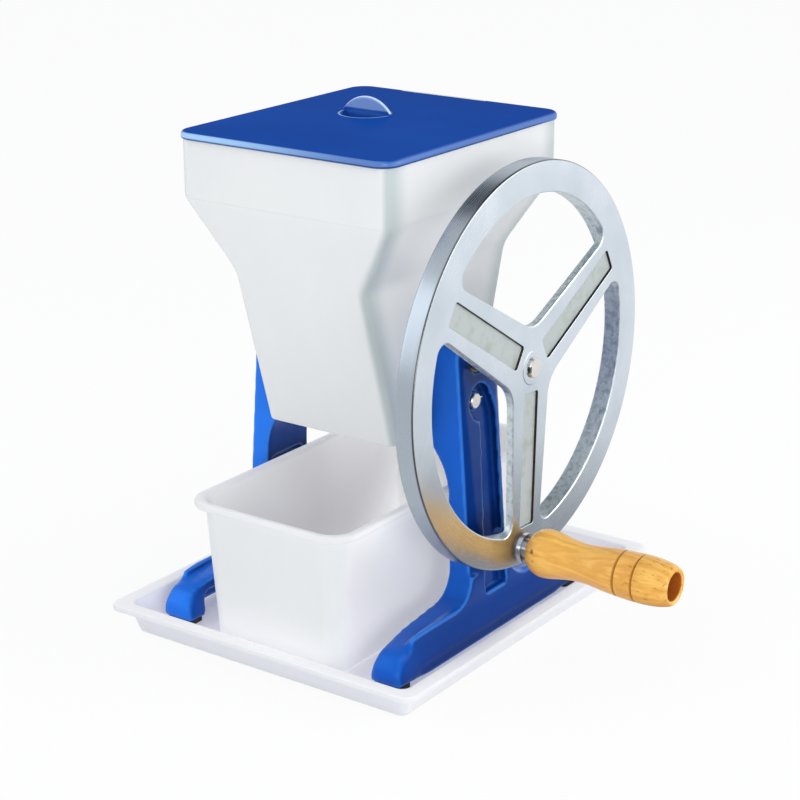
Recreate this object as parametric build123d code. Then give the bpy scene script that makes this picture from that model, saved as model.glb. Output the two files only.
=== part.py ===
from build123d import *
import os
from math import cos, pi, radians, sin, sqrt

# Hand crank ice crusher. Millimetres, +Z up. The origin lies on the table, midway between the legs.
# The wheel side is +X and the front, where the bin is drawn out, is -Y.

# Fits
RUN = 0.05            # radial clearance of a shaft that turns in a bush or hole
SLIP = 0.15           # clearance of a fixed pin or screw in its hole
GAP = 0.3             # gap between faces that pass each other

# Tray
TRAY_X = 122.0        # half width over the rim
TRAY_Y = 147.5        # half length over the rim
TRAY_H = 20.6
TRAY_OFF_X = 4.6      # the tray's centre lies towards the wheel and the rear
TRAY_OFF_Y = 7.5
TRAY_WALL = 2.5
TRAY_RIM = 11.0       # width of the flange
TRAY_LIP = 4.0        # height of the flange's turned-down edge
TRAY_R = 14.0
TRAY_DRAFT = 1.5

# Legs
SHAFT_Z = 192.5       # height of the drive shaft
COMB_Z = 162.2        # height of the comb shaft
FOOT_Z = 5.5          # underside of the feet, on their pads
FOOT_Y = 110.0        # half length of the foot beam
LEG_Y = 22.5          # half width of the column
LEG_OUT_X = 89.5      # outer face of the column at the reference height
LEG_REF_Z = 100.0
LEG_SPLAY = 0.083     # how far the outer face leans out for each mm downwards
LEG_IN_X = 74.5       # inner face of the column
FLARE_R = 50.8        # radius of the curve that carries the leg in to the hopper
OUT_POCKET = 6.0      # depth of the recess in the outer side
IN_POCKET = 3.5       # depth of the recess in the inner side
PAD_T = FOOT_Z - TRAY_WALL

# Hopper
HOP_X = 79.7          # half width of the upper box
HOP_Y = 95.4          # half length of the upper box
HOP_TOP = 332.0
HOP_BEND = 292.5      # where the shoulders begin
NECK_X = 51.0         # half width of the chute
NECK_Y = 50.0         # half length of the chute's mouth
NECK_TOP = 241.0
SHOULDER_EASE = 0.2   # share of the shoulder's height taken by the curve at its foot
HOP_LOW = 138.4
HOP_WALL = 3.0
HOP_R = 7.0

# Lid
LID_SLACK = 0.5       # between the skirt and the hopper
LID_SKIRT = 2.2
LID_RISE = 2.6        # the plate's top above the hopper's rim
LID_CROWN = 1.6
LID_R = 13.0
NOTCH_X = -11.0       # middle of the rear notch
NOTCH_HALF = 34.0
NOTCH_Y = 4.5
TAB_T = 1.6           # the hopper's tab that fills the notch
GRIP_X = -13.0        # middle of the fin
GRIP_Y = 12.0
GRIP_HALF = 19.0
GRIP_UP = 10.5
DISH_R = 30.0

# Bin
BIN_X = 63.5          # half width over the rim
BIN_Y0 = -123.0
BIN_Y1 = 120.0
BIN_TOP = 101.8
BIN_RIM = 6.0
BIN_WALL = 2.5
BIN_DRAFT = 6.0
BIN_R = 16.0

# Flywheel
WHEEL_R = 130.0
RIM_W = 19.7
WHEEL_IN = WHEEL_R - RIM_W
WHEEL_T = 12.9
WHEEL_FACE = 122.3    # outer face along X
WHEEL_TURN = 2.0      # the spokes' lean at rest, degrees
SPOKE_T = 5.0
SPOKE_LIP = 0.6       # the plate stands in a little from the rim's wall
SPOKE_HUB = 20.6      # half width of a spoke near the hub
SPOKE_RIM = 16.3      # half width of a spoke at the rim
GAP_FOOT_R = 22.0     # rounding of an opening's foot, between two spokes
GAP_END_R = 8.0       # rounding of its two outer corners
SPOKES = 3
PANEL_W = 16.0
PANEL_R0 = 16.5
PANEL_R1 = WHEEL_IN - 4.8
PANEL_D = 1.9
HUB_R = 15.0
HUB_BACK = 100.0      # inner end of the hub along X
CRANK_IN = 9.7        # the handle stands this far in from the wheel's edge
CRANK_R = WHEEL_R - CRANK_IN

# Shafts
SHAFT_R = 6.5
SHAFT_END = WHEEL_FACE + 2.4
BUSH_R = 9.0
BUSH_FLANGE_R = 10.5
BUSH_FLANGE_T = 1.6
COMB_R = 5.25
COMB_END = 80.8       # the comb shaft's end stands inside the recess of the leg
KEY = 4.0
PIN_R = 2.0           # pins that hold the rotor and the comb on their shafts
COTTER_R = 1.5        # pins across the ends of the comb shaft
CLIP_T = 1.5
CLIP_NECK = 5.3
FRAME_SCREW_R = 2.5
SCREW_HEAD_R = 4.6
FRAME_WASHER_R = 6.0

# Crushing mechanism
ROTOR_CORE = 12.0
ROTOR_ROOT = 14.0
TOOTH_R = 22.6
TEETH = 6
ROWS = 5
ROW_PITCH = 15.0
ROW_T = 6.0
FINGER_T = 5.0
WASHER_T = 1.5

# Crank handle
STUD_R = 5.0
GRIP_START = 127.6
GRIP_LEN = 103.0
GRIP_R = 15.8         # widest radius of the bulb
GRIP_BORE = 9.0
GRIP_BORE_DEPTH = 38.0
COLLAR_R = 6.2
NUT_FLAT = 16.0
STUD_WASHER_T = 1.6
STUD_NUT_T = 8.0

# Places that follow from the sizes above
ROTOR_HALF = NECK_X - HOP_WALL - WASHER_T - GAP
GRIP_SEAT = GRIP_START + GRIP_LEN - GRIP_BORE_DEPTH
CRANK_Y = -CRANK_R * sin(radians(WHEEL_TURN))
CRANK_Z = SHAFT_Z - CRANK_R * cos(radians(WHEEL_TURN))

os.makedirs("parts", exist_ok=True)


def rod_x(radius, x0, x1, y=0.0, z=0.0):
    """A round bar along X from x0 to x1."""
    bar = Cylinder(radius, abs(x1 - x0), align=(Align.CENTER, Align.CENTER, Align.MIN))
    return Pos(min(x0, x1), y, z) * (Rot(0, 90, 0) * bar)


def rod_y(radius, y0, y1, x=0.0, z=0.0):
    """A round bar along Y from y0 to y1."""
    bar = Cylinder(radius, abs(y1 - y0), align=(Align.CENTER, Align.CENTER, Align.MIN))
    return Pos(x, max(y0, y1), z) * (Rot(90, 0, 0) * bar)


def block(x0, x1, y0, y1, z0, z1):
    """A box given by its limits."""
    box = Box(x1 - x0, y1 - y0, z1 - z0)
    return Pos((x0 + x1) / 2, (y0 + y1) / 2, (z0 + z1) / 2) * box


def slab_yz(points, x0, x1):
    """A flat outline of (y, z) points, extruded along X."""
    face = make_face(Polyline(*[(0, y, z) for y, z in points], close=True))
    return Pos(x0, 0, 0) * extrude(face, amount=x1 - x0, dir=(1, 0, 0))


def slab_xz(points, y0, y1):
    """A flat outline of (x, z) points, extruded along Y."""
    face = make_face(Polyline(*[(x, 0, z) for x, z in points], close=True))
    return Pos(0, y0, 0) * extrude(face, amount=y1 - y0, dir=(0, 1, 0))


def round_box(half_x, half_y, radius, z0, z1, grow=0.0):
    """An upright box with rounded corners whose top is larger than its foot by grow on every side."""
    low = Pos(0, 0, z0) * RectangleRounded(2 * half_x, 2 * half_y, radius)
    if grow == 0.0:
        return extrude(low, amount=z1 - z0)
    high = Pos(0, 0, z1) * RectangleRounded(2 * (half_x + grow), 2 * (half_y + grow), radius + grow)
    return loft([low, high], ruled=True)


def mirrored(solid):
    """The same piece on the other side of the machine."""
    return mirror(solid, about=Plane.YZ)


def leg_outer(z):
    """Outer face of a leg along X at a height."""
    return LEG_OUT_X - LEG_SPLAY * (z - LEG_REF_Z)


# ---------------------------------------------------------------- tray and bin

def make_tray():
    foot_x = TRAY_X - TRAY_RIM - TRAY_DRAFT
    foot_y = TRAY_Y - TRAY_RIM - TRAY_DRAFT
    corner = TRAY_R - TRAY_DRAFT - 4
    shell = round_box(foot_x, foot_y, corner, 0, TRAY_H, TRAY_DRAFT)
    rim = round_box(TRAY_X, TRAY_Y, TRAY_R, TRAY_H - TRAY_LIP, TRAY_H)
    rim = fillet(rim.faces().sort_by(Axis.Z)[-1].edges(), 1.2)
    under = round_box(TRAY_X - 2, TRAY_Y - 2, TRAY_R - 2, TRAY_H - TRAY_LIP - 1, TRAY_H - 2)
    shell += rim - under
    shell += round_box(foot_x, foot_y, corner, 0, TRAY_H - 1, TRAY_DRAFT * 0.9)
    inside = round_box(foot_x - 2, foot_y - 2, corner - 2, TRAY_WALL, TRAY_H + 4, TRAY_DRAFT * 1.2)
    tray = shell - inside
    bend = tray.edges().group_by(Axis.Z)[0]
    tray = fillet(bend, 1.0)
    return Pos(TRAY_OFF_X, TRAY_OFF_Y, 0) * tray


def make_bin():
    half_y = (BIN_Y1 - BIN_Y0) / 2
    mid_y = (BIN_Y1 + BIN_Y0) / 2
    z0 = TRAY_WALL
    body_x = BIN_X - BIN_RIM
    body_y = half_y - BIN_RIM
    low_x = body_x - BIN_DRAFT
    low_y = body_y - BIN_DRAFT
    outer = round_box(low_x, low_y, BIN_R - BIN_DRAFT + 2, z0, BIN_TOP - 1, BIN_DRAFT)
    outer = fillet(outer.faces().sort_by(Axis.Z)[0].edges(), 4.0)
    rim = round_box(BIN_X, half_y, BIN_R + 3, BIN_TOP - 5.0, BIN_TOP)
    rim = fillet(rim.faces().sort_by(Axis.Z)[-1].edges(), 2.2)
    under = round_box(BIN_X - 2, half_y - 2, BIN_R + 1, BIN_TOP - 6.0, BIN_TOP - 2.4)
    shape = outer + (rim - under) + round_box(body_x, body_y, BIN_R, BIN_TOP - 8, BIN_TOP - 1)
    w = BIN_WALL
    inside = round_box(low_x - w, low_y - w, BIN_R - BIN_DRAFT, z0 + w, BIN_TOP + 4, BIN_DRAFT + 0.3)
    inside = fillet(inside.faces().sort_by(Axis.Z)[0].edges(), 3.0)
    shape -= inside
    return Pos(0, mid_y, 0) * shape


# ---------------------------------------------------------------- hopper and lid

def hopper_half_x(z):
    """Half width of the hopper at a height: chute, a short curve, then the straight shoulder."""
    t = max(0.0, min(1.0, (z - NECK_TOP) / (HOP_BEND - NECK_TOP)))
    rate = 1.0 / (1.0 - SHOULDER_EASE / 2)
    if t < SHOULDER_EASE:
        share = rate * t * t / (2 * SHOULDER_EASE)
    else:
        share = rate * (t - SHOULDER_EASE / 2)
    return NECK_X + (HOP_X - NECK_X) * share


def hopper_half_y(z):
    """Half length of the hopper at a height: straight above the bend, tapered below it."""
    slope = (HOP_Y - NECK_Y) / (HOP_BEND - HOP_LOW)
    return min(HOP_Y, NECK_Y + slope * (z - HOP_LOW))


def hopper_section(z, inset):
    half_x = hopper_half_x(z) - inset
    half_y = hopper_half_y(z) - inset
    return Pos(0, 0, z) * RectangleRounded(2 * half_x, 2 * half_y, HOP_R - inset)


def chute_body(inset, z0):
    """The chute's solid outline drawn in by inset."""
    return loft([hopper_section(z0, inset), hopper_section(NECK_TOP, inset)], ruled=True)


def hopper_body(inset, z0, z1):
    """The hopper's solid outline drawn in by inset."""
    ease_top = NECK_TOP + SHOULDER_EASE * (HOP_BEND - NECK_TOP)
    chute = chute_body(inset, z0)
    curve = [NECK_TOP + (ease_top - NECK_TOP) * i / 4 for i in range(5)]
    bend = loft([hopper_section(z, inset) for z in curve])
    shoulder = loft([hopper_section(ease_top, inset), hopper_section(HOP_BEND, inset)], ruled=True)
    upper = extrude(hopper_section(HOP_BEND, inset), amount=z1 - HOP_BEND)
    return chute + bend + shoulder + upper


def make_hopper():
    outer = hopper_body(0, HOP_LOW, HOP_TOP)
    inner = hopper_body(HOP_WALL, HOP_LOW - 6, HOP_TOP + 6)
    hopper = outer - inner
    tab_half = NOTCH_HALF - 0.8
    tab_top = HOP_TOP + LID_RISE - 0.4
    hopper += block(NOTCH_X - tab_half, NOTCH_X + tab_half, HOP_Y - TAB_T, HOP_Y, HOP_TOP - 4, tab_top)
    for side in (-1, 1):
        hopper -= rod_x(BUSH_R, side * (NECK_X - 6), side * (NECK_X + 6), 0, SHAFT_Z)
        hopper -= rod_x(COMB_R + SLIP, side * (NECK_X - 6), side * (NECK_X + 6), 0, COMB_Z)
        for y, z in frame_screw_places():
            hopper -= rod_x(FRAME_SCREW_R + SLIP, side * (NECK_X - 6), side * (NECK_X + 6), y, z)
    return hopper


def make_lid():
    half_x = HOP_X + LID_SLACK + LID_SKIRT
    half_y = HOP_Y + LID_SLACK + LID_SKIRT
    skirt_low = HOP_TOP - 2.2
    top = HOP_TOP + LID_RISE
    body = round_box(half_x, half_y, LID_R, skirt_low, top)
    body = chamfer(body.faces().sort_by(Axis.Z)[-1].edges(), 1.6)
    crown_r = half_x ** 2 / (2 * LID_CROWN)
    crown = rod_y(crown_r, -half_y + 1.8, half_y - 1.8, 0, top + LID_CROWN - crown_r)
    cap = round_box(half_x - 1.8, half_y - 1.8, LID_R - 1.8, top - 1, top + LID_CROWN + 1)
    body += crown & cap
    inner = round_box(half_x - LID_SKIRT, half_y - LID_SKIRT, HOP_R + LID_SLACK, skirt_low - 1, HOP_TOP)
    body -= inner
    notch = (NOTCH_X - NOTCH_HALF, NOTCH_X + NOTCH_HALF)
    body -= block(*notch, half_y - NOTCH_Y, half_y + 2, skirt_low - 1, top + 4)
    # The grip stands in a dish below the crown.
    dish = grip_dish(0.0, top + LID_CROWN)
    floor = grip_dish(2.2, top + 0.5) & block(-60, 60, -60, 60, HOP_TOP - 3.4, top)
    body += floor
    body -= dish
    body += grip_fin(top + LID_CROWN)
    return body


def grip_dish(grow, top):
    """A shallow scoop, round in plan, in front of and behind the fin."""
    ball = Sphere(DISH_R + grow)
    scoop = Pos(GRIP_X, GRIP_Y - 1, top + DISH_R - 5.4) * ball
    return scoop & block(-60, 60, -60, 60, top - 20, top + 1.5 + grow)


def grip_fin(top):
    """The half-moon fin, thinner towards its curved edge."""
    rise = GRIP_UP
    radius = (GRIP_HALF ** 2 + rise ** 2) / (2 * rise)
    ends = (GRIP_X - GRIP_HALF, GRIP_X + GRIP_HALF)
    disc = rod_y(radius, GRIP_Y - 2.2, GRIP_Y + 2.2, GRIP_X, top + rise - radius)
    fin = disc & block(*ends, GRIP_Y - 5, GRIP_Y + 5, top - 7.2, top + rise + 1)
    edges = [e for e in fin.edges() if e.center().Z > top + 3 and e.bounding_box().size.Y < 0.1]
    return fillet(edges, 1.6)


# ---------------------------------------------------------------- legs

def foot_top(y):
    """Height of the foot beam's top at a distance from the centre."""
    return 34.0 - 0.105 * (abs(y) - 33.0)


def leg_side_view():
    """The leg seen from the side: foot beam, column and the round top about the drive shaft."""
    low = FOOT_Z
    arch = low + 7.5
    right = [
        (LEG_Y, SHAFT_Z),
        (LEG_Y, foot_top(LEG_Y) + 1.0),
        (FOOT_Y - 8, foot_top(FOOT_Y - 8)),
        (FOOT_Y, 15.0),
        (FOOT_Y - 1, low),
        (FOOT_Y - 19, low),
        (FOOT_Y - 24, arch),
    ]
    outline = right + [(-y, z) for y, z in reversed(right)]
    face = make_face(Polyline(*[(0, y, z) for y, z in outline], close=True))
    crotch = [v for v in face.vertices() if abs(abs(v.Y) - LEG_Y) < 0.1 and v.Z < 60]
    face = fillet(crotch, 19)
    nose = [v for v in face.vertices() if abs(abs(v.Y) - FOOT_Y + 8) < 0.1 and v.Z > 20]
    face = fillet(nose, 9)
    tips = [v for v in face.vertices() if abs(abs(v.Y) - FOOT_Y) < 0.1]
    face = fillet(tips, 5)
    body = extrude(face, amount=80, dir=(1, 0, 0))
    crown = rod_x(LEG_Y, 0, 80, 0, SHAFT_Z)
    return Pos(40, 0, 0) * (body + crown)


def leg_front_view():
    """The leg seen from the front: splayed column, and the bracket that reaches in to the hopper."""
    top = SHAFT_Z + LEG_Y + 1
    centre_x = LEG_IN_X - FLARE_R
    reach = FLARE_R - (LEG_IN_X - NECK_X)
    rise = sqrt(FLARE_R ** 2 - reach ** 2)
    turn = 0.5
    start = (LEG_IN_X, LEG_REF_Z)
    end = (NECK_X, LEG_REF_Z + rise)
    mid = (centre_x + FLARE_R * cos(turn), LEG_REF_Z + FLARE_R * sin(turn))
    flare = ThreePointArc((start[0], 0, start[1]), (mid[0], 0, mid[1]), (end[0], 0, end[1]))
    rest = [
        end,
        (NECK_X, top),
        (leg_outer(top), top),
        (leg_outer(30.0), 30.0),
        (leg_outer(FOOT_Z) + 1.0, FOOT_Z),
        (LEG_IN_X - 2.0, FOOT_Z),
        (LEG_IN_X + 1.2, 26.0),
        start,
    ]
    line = Polyline(*[(x, 0, z) for x, z in rest])
    face = make_face(Curve() + [flare, line])
    return Pos(0, -FOOT_Y - 5, 0) * extrude(face, amount=2 * FOOT_Y + 10, dir=(0, 1, 0))


def outer_band(inner_off, outer_off):
    """A slice that follows the leaning outer face between two offsets from it."""
    z0 = 0.0
    z1 = 260.0
    points = [
        (leg_outer(z0) + inner_off, z0),
        (leg_outer(z0) + outer_off, z0),
        (leg_outer(z1) + outer_off, z1),
        (leg_outer(z1) + inner_off, z1),
    ]
    return slab_xz(points, -FOOT_Y - 5, FOOT_Y + 5)


def edge_bevel(side):
    """The bevel beside the column's outer face, wide at the foot and narrow at the top."""
    sections = []
    for z, width, depth in ((50.0, 11.0, 2.4), (216.0, 2.2, 0.9)):
        x = leg_outer(z)
        inner = (x + 1, side * (LEG_Y - width))
        corner = (x + 1, side * (LEG_Y + 1))
        points = [inner, corner, (x - depth, side * (LEG_Y + 1))]
        points += [(x - depth, side * LEG_Y), (x, side * (LEG_Y - width))]
        sections.append(make_face(Polyline(*[(px, py, z) for px, py in points], close=True)))
    return loft(sections, ruled=True)


def make_leg():
    leg = leg_side_view() & leg_front_view()
    low = 33.0
    recess = [(-7.0, low), (17.5, low), (17.5, 150.0), (13.0, COMB_Z + 2), (0.0, COMB_Z), (-1.0, 150.0)]
    slot = slab_yz(recess, 60, 120)
    slot = fillet(slot.edges().filter_by(Axis.X).sort_by(Axis.Z)[:2], 1.5)
    well = rod_x(12.0, 60, 120, 0, COMB_Z)
    leg -= (slot + well) & outer_band(-OUT_POCKET, 20)
    for side in (-1, 1):
        leg -= edge_bevel(side)
    inner = block(40, LEG_IN_X + IN_POCKET, -17.5, 17.5, 42, 96)
    inner = fillet(inner.edges().filter_by(Axis.X), 5)
    leg -= inner
    belly = block(40, LEG_IN_X + 7.5, -FOOT_Y + 20, FOOT_Y - 20, 0, 21)
    belly = fillet(belly.edges().filter_by(Axis.X), 5)
    leg -= belly
    leg -= rod_x(BUSH_R, 40, 120, 0, SHAFT_Z)
    leg -= rod_x(COMB_R + SLIP, 40, 120, 0, COMB_Z)
    # A slot in the floor of the well keeps the cross pin, and so the comb, from turning.
    floor = leg_outer(COMB_Z) - OUT_POCKET
    leg -= block(floor - 2.6, floor + 4, -9.5, 9.5, COMB_Z - COTTER_R - SLIP, COMB_Z + COTTER_R + SLIP)
    leg -= rod_x(BUSH_FLANGE_R + 0.4, bush_seat(), 120, 0, SHAFT_Z)
    for y, z in frame_screw_places():
        leg -= rod_x(FRAME_SCREW_R, NECK_X - 1, NECK_X + 16, y, z)
    return leg


def make_foot_pads():
    pads = []
    for sx in (-1, 1):
        for sy in (-1, 1):
            mid_x = sx * (LEG_IN_X - 2.0 + leg_outer(FOOT_Z) + 1.0) / 2
            mid_y = sy * (FOOT_Y - 10.2)
            pad = Pos(mid_x, mid_y, TRAY_WALL + PAD_T / 2) * Box(20, 15, PAD_T)
            pads.append(fillet(pad.edges().filter_by(Axis.Z), 3))
    return Compound(children=pads)


# ---------------------------------------------------------------- shafts, bushes and clips

def bush_seat():
    """Where the bush's flange sits in its counterbore on the outer side of the leg."""
    return leg_outer(SHAFT_Z + BUSH_FLANGE_R) - 1.2


def frame_screw_places():
    """Positions (y, z) of the screws that hold the hopper to one leg."""
    return [(y, z) for y in (-14.0, 14.0) for z in (151.5, 203.5)]


def clip_x():
    """Inner face of the clip that keeps the shaft's far end in its bush."""
    return -(bush_seat() + BUSH_FLANGE_T + GAP)


def make_drive_shaft():
    groove = (clip_x() - CLIP_T, clip_x())
    left = groove[0] - 4.0
    shaft = rod_x(SHAFT_R, left, SHAFT_END, 0, SHAFT_Z)
    shaft = chamfer(shaft.edges().group_by(Axis.X)[0], 0.8)
    shaft = chamfer(shaft.edges().group_by(Axis.X)[-1], 0.8)
    shaft -= rod_x(SHAFT_R + 2, *groove, 0, SHAFT_Z) - rod_x(CLIP_NECK, *groove, 0, SHAFT_Z)
    for x in rotor_pin_places():
        shaft -= upright(PIN_R, x, SHAFT_Z, SHAFT_R + 1)
    return shaft - key_box(0.0, HUB_BACK + 2, SHAFT_END + 1)


def upright(radius, x, z, half):
    """A round bar along Z through a shaft."""
    return Pos(x, 0, z) * Cylinder(radius, 2 * half)


def rotor_pin_places():
    """Where the two pins that drive the rotor cross the shaft."""
    return [side * (ROTOR_HALF - 4.2) for side in (-1, 1)]


def key_box(slack, x0, x1):
    """The key's room: half in the shaft and half in the hub, on the front side of the shaft."""
    half = KEY / 2 + slack
    return block(x0, x1, -SHAFT_R - KEY / 2 - slack, -SHAFT_R + KEY / 2, SHAFT_Z - half, SHAFT_Z + half)


def make_wheel_key():
    return key_box(0.0, HUB_BACK + 2, WHEEL_FACE - 3.0)


def make_shaft_bush():
    seat = bush_seat()
    bush = rod_x(BUSH_R, NECK_X - HOP_WALL, seat + BUSH_FLANGE_T, 0, SHAFT_Z)
    bush += rod_x(BUSH_FLANGE_R, seat, seat + BUSH_FLANGE_T, 0, SHAFT_Z)
    return bush - rod_x(SHAFT_R + RUN, 0, 120, 0, SHAFT_Z)


def make_shaft_bushes():
    right = make_shaft_bush()
    return Compound(children=[right, mirrored(right)])


def make_shaft_clip():
    ends = (clip_x() - CLIP_T, clip_x())
    ring = rod_x(SHAFT_R + 3.0, *ends, 0, SHAFT_Z) - rod_x(CLIP_NECK, *ends, 0, SHAFT_Z)
    mouth = SHAFT_Z - CLIP_NECK + 1.6
    return ring - block(ends[0] - 1, ends[1] + 1, -3.2, 3.2, mouth - 8, mouth)


def make_wheel_spacer():
    start = bush_seat() + BUSH_FLANGE_T + GAP
    tube = rod_x(SHAFT_R + 2.2, start, HUB_BACK, 0, SHAFT_Z)
    return tube - rod_x(SHAFT_R, start - 1, HUB_BACK + 1, 0, SHAFT_Z)


def make_comb_shaft():
    bar = rod_x(COMB_R, -COMB_END, COMB_END, 0, COMB_Z)
    bar = chamfer(bar.edges().group_by(Axis.X)[0] + bar.edges().group_by(Axis.X)[-1], 0.6)
    for x in comb_pin_places():
        bar -= upright(PIN_R, x, COMB_Z, COMB_R + 1)
    for side in (-1, 1):
        bar -= cotter(side, 1.0)
    return bar


def comb_pin_places():
    """Where the two pins that hold the comb cross the comb shaft."""
    edge = FINGER_T / 2 + 2.5 * ROW_PITCH
    return [side * (edge + 4.0) for side in (-1, 1)]


def cotter(side, extra):
    """A pin across the comb shaft, lying in the slot of the leg."""
    x = side * (leg_outer(COMB_Z) - OUT_POCKET - 0.6)
    return rod_y(COTTER_R, -9.0 - extra, 9.0 + extra, x, COMB_Z)


def make_comb_cotters():
    return Compound(children=[cotter(-1, 0.0), cotter(1, 0.0)])


def make_thrust_washers():
    inner = NECK_X - HOP_WALL
    pair = []
    for side in (-1, 1):
        ring = rod_x(11.5, side * (inner - GAP - WASHER_T), side * (inner - GAP), 0, SHAFT_Z)
        pair.append(ring - rod_x(SHAFT_R, side * 30, side * 60, 0, SHAFT_Z))
    return Compound(children=pair)


# ---------------------------------------------------------------- crushing mechanism

def tooth_row(x, turn):
    """One row of pointed teeth, hooked forward in the direction of turning."""
    points = []
    step = 2 * pi / TEETH
    for i in range(TEETH):
        a = i * step + radians(turn)
        for radius, lead in ((ROTOR_ROOT, 0.0), (TOOTH_R, 0.42), (TOOTH_R, 0.54), (ROTOR_ROOT, 0.80)):
            b = a + lead * step
            points.append((radius * sin(b), SHAFT_Z + radius * cos(b)))
    return slab_yz(points, x - ROW_T / 2, x + ROW_T / 2)


def make_rotor():
    rotor = rod_x(ROTOR_CORE, -ROTOR_HALF, ROTOR_HALF, 0, SHAFT_Z)
    for row in range(ROWS):
        x = (row - (ROWS - 1) / 2) * ROW_PITCH
        rotor += tooth_row(x, row * 12.0)
    rotor -= rod_x(SHAFT_R, -60, 60, 0, SHAFT_Z)
    for x in rotor_pin_places():
        rotor -= upright(PIN_R, x, SHAFT_Z, ROTOR_CORE + 1)
    return rotor


def make_rotor_pins():
    pins = [upright(PIN_R, x, SHAFT_Z, ROTOR_CORE - 0.6) for x in rotor_pin_places()]
    return Compound(children=pins)


def make_comb():
    beam_y = -33.0
    beam_z = COMB_Z + 1.0
    reach = 2.5 * ROW_PITCH + FINGER_T / 2
    beam = rod_x(5.0, -reach, reach, beam_y, beam_z)
    comb = beam
    for i in range(ROWS + 1):
        x = (i - ROWS / 2) * ROW_PITCH
        outline = [
            (1.0, COMB_Z - 9.0),
            (9.0, COMB_Z + 1.0),
            (-7.5, COMB_Z + 12.5),
            (-15.5, SHAFT_Z + 1.5),
            (-19.0, SHAFT_Z + 4.0),
            (beam_y - 4.5, beam_z + 3.0),
            (beam_y - 2.0, beam_z - 4.5),
        ]
        comb += slab_yz(outline, x - FINGER_T / 2, x + FINGER_T / 2)
        comb += rod_x(9.0, x - FINGER_T / 2, x + FINGER_T / 2, 0, COMB_Z)
    for side in (-1, 1):
        comb += rod_x(9.0, side * reach, side * (reach + 7.6), 0, COMB_Z)
    comb -= rod_x(COMB_R, -60, 60, 0, COMB_Z)
    comb -= rod_x(ROTOR_CORE + 1.2, -60, 60, 0, SHAFT_Z)
    for x in comb_pin_places():
        comb -= upright(PIN_R, x, COMB_Z, 10)
    return comb


def make_comb_pins():
    pins = [upright(PIN_R, x, COMB_Z, 8.4) for x in comb_pin_places()]
    return Compound(children=pins)


def throat_plate(side, low_y, low_z, top_z):
    """A bent plate from the hopper's wall down to the rotor, with a flange up the wall."""
    t = 2.0
    room = HOP_WALL + RUN
    flange_z = top_z + 16.0
    wall = hopper_half_y(top_z) - room
    wall_up = hopper_half_y(flange_z) - room
    points = [
        (side * low_y, low_z),
        (side * wall, top_z),
        (side * wall_up, flange_z),
        (side * (wall_up - t), flange_z),
        (side * (wall - t), top_z + 1.2),
        (side * low_y, low_z + 2.6),
    ]
    return slab_yz(points, -NECK_X, NECK_X) & chute_body(room, HOP_LOW)


def make_front_throat_plate():
    return throat_plate(-1, 37.5, 172.0, 206.0)


def make_rear_throat_plate():
    return throat_plate(1, 24.2, 183.0, 212.0)


# ---------------------------------------------------------------- frame screws

def frame_washer(side, y, z):
    face = NECK_X - HOP_WALL
    ring = rod_x(FRAME_WASHER_R, side * (face - 1.0), side * face, y, z)
    return ring - rod_x(FRAME_SCREW_R, side * 30, side * 60, y, z)


def frame_screw(side, y, z):
    face = NECK_X - HOP_WALL - 1.0
    shank = rod_x(FRAME_SCREW_R, side * face, side * (NECK_X + 14), y, z)
    head = rod_x(SCREW_HEAD_R, side * (face - 2.6), side * face, y, z)
    rim = head.edges().group_by(Axis.X)[0 if side > 0 else -1]
    head = chamfer(rim, 1.2)
    socket = Rot(0, 90, 0) * extrude(RegularPolygon(1.7, 6), 1.4, both=True)
    socket = Pos(side * (face - 2.7), y, z) * socket
    return shank + head - socket


def all_frame(maker):
    pieces = []
    for side in (-1, 1):
        for y, z in frame_screw_places():
            pieces.append(maker(side, y, z))
    return Compound(children=pieces)


# ---------------------------------------------------------------- flywheel

def spoke_half(r):
    """Half width of a spoke at a radius."""
    return SPOKE_HUB + (SPOKE_RIM - SPOKE_HUB) * (r - HUB_R - 5.0) / (WHEEL_IN - HUB_R - 7.3)


def wheel_gap():
    """Outline of the opening between two spokes: the gap points up, its foot is widely rounded."""
    half = radians(180.0 / SPOKES)
    reach = WHEEL_R + 20
    off = spoke_half(reach)
    far_x = reach * sin(half) - off * cos(half)
    far_z = reach * cos(half) + off * sin(half)
    meet = SPOKE_HUB / sin(half) * 1.013
    wedge = make_face(Polyline((0, meet), (far_x, far_z), (0, WHEEL_R * 1.5), (-far_x, far_z), close=True))
    gap_r = WHEEL_IN - SPOKE_LIP
    face = (wedge & Circle(gap_r)).faces()[0]
    face = fillet(face.vertices().sort_by(Axis.Y)[0], GAP_FOOT_R)
    outer = [v for v in face.vertices() if sqrt(v.X ** 2 + v.Y ** 2) > gap_r - 2]
    return fillet(outer, GAP_END_R)


def wheel_plate():
    """The plate that carries the three spokes, its openings rounded on the outer side."""
    outline = Circle(WHEEL_IN + 4)
    for i in range(SPOKES):
        outline -= Rot(0, 0, 360.0 / SPOKES * i) * wheel_gap()
    plate = extrude(Plane.YZ * outline, SPOKE_T)
    edges = []
    for opening in plate.faces().sort_by(Axis.X)[-1].inner_wires():
        edges += opening.edges()
    return Pos(WHEEL_FACE - SPOKE_T, 0, 0) * fillet(edges, 0.9)


def spoke_panel(turn):
    """The shallow recess along one spoke."""
    panel = Box(2 * PANEL_D, PANEL_W, PANEL_R1 - PANEL_R0)
    panel = fillet(panel.edges().filter_by(Axis.X), 2.0)
    return Rot(-turn, 0, 0) * (Pos(WHEEL_FACE, 0, (PANEL_R0 + PANEL_R1) / 2) * panel)


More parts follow.
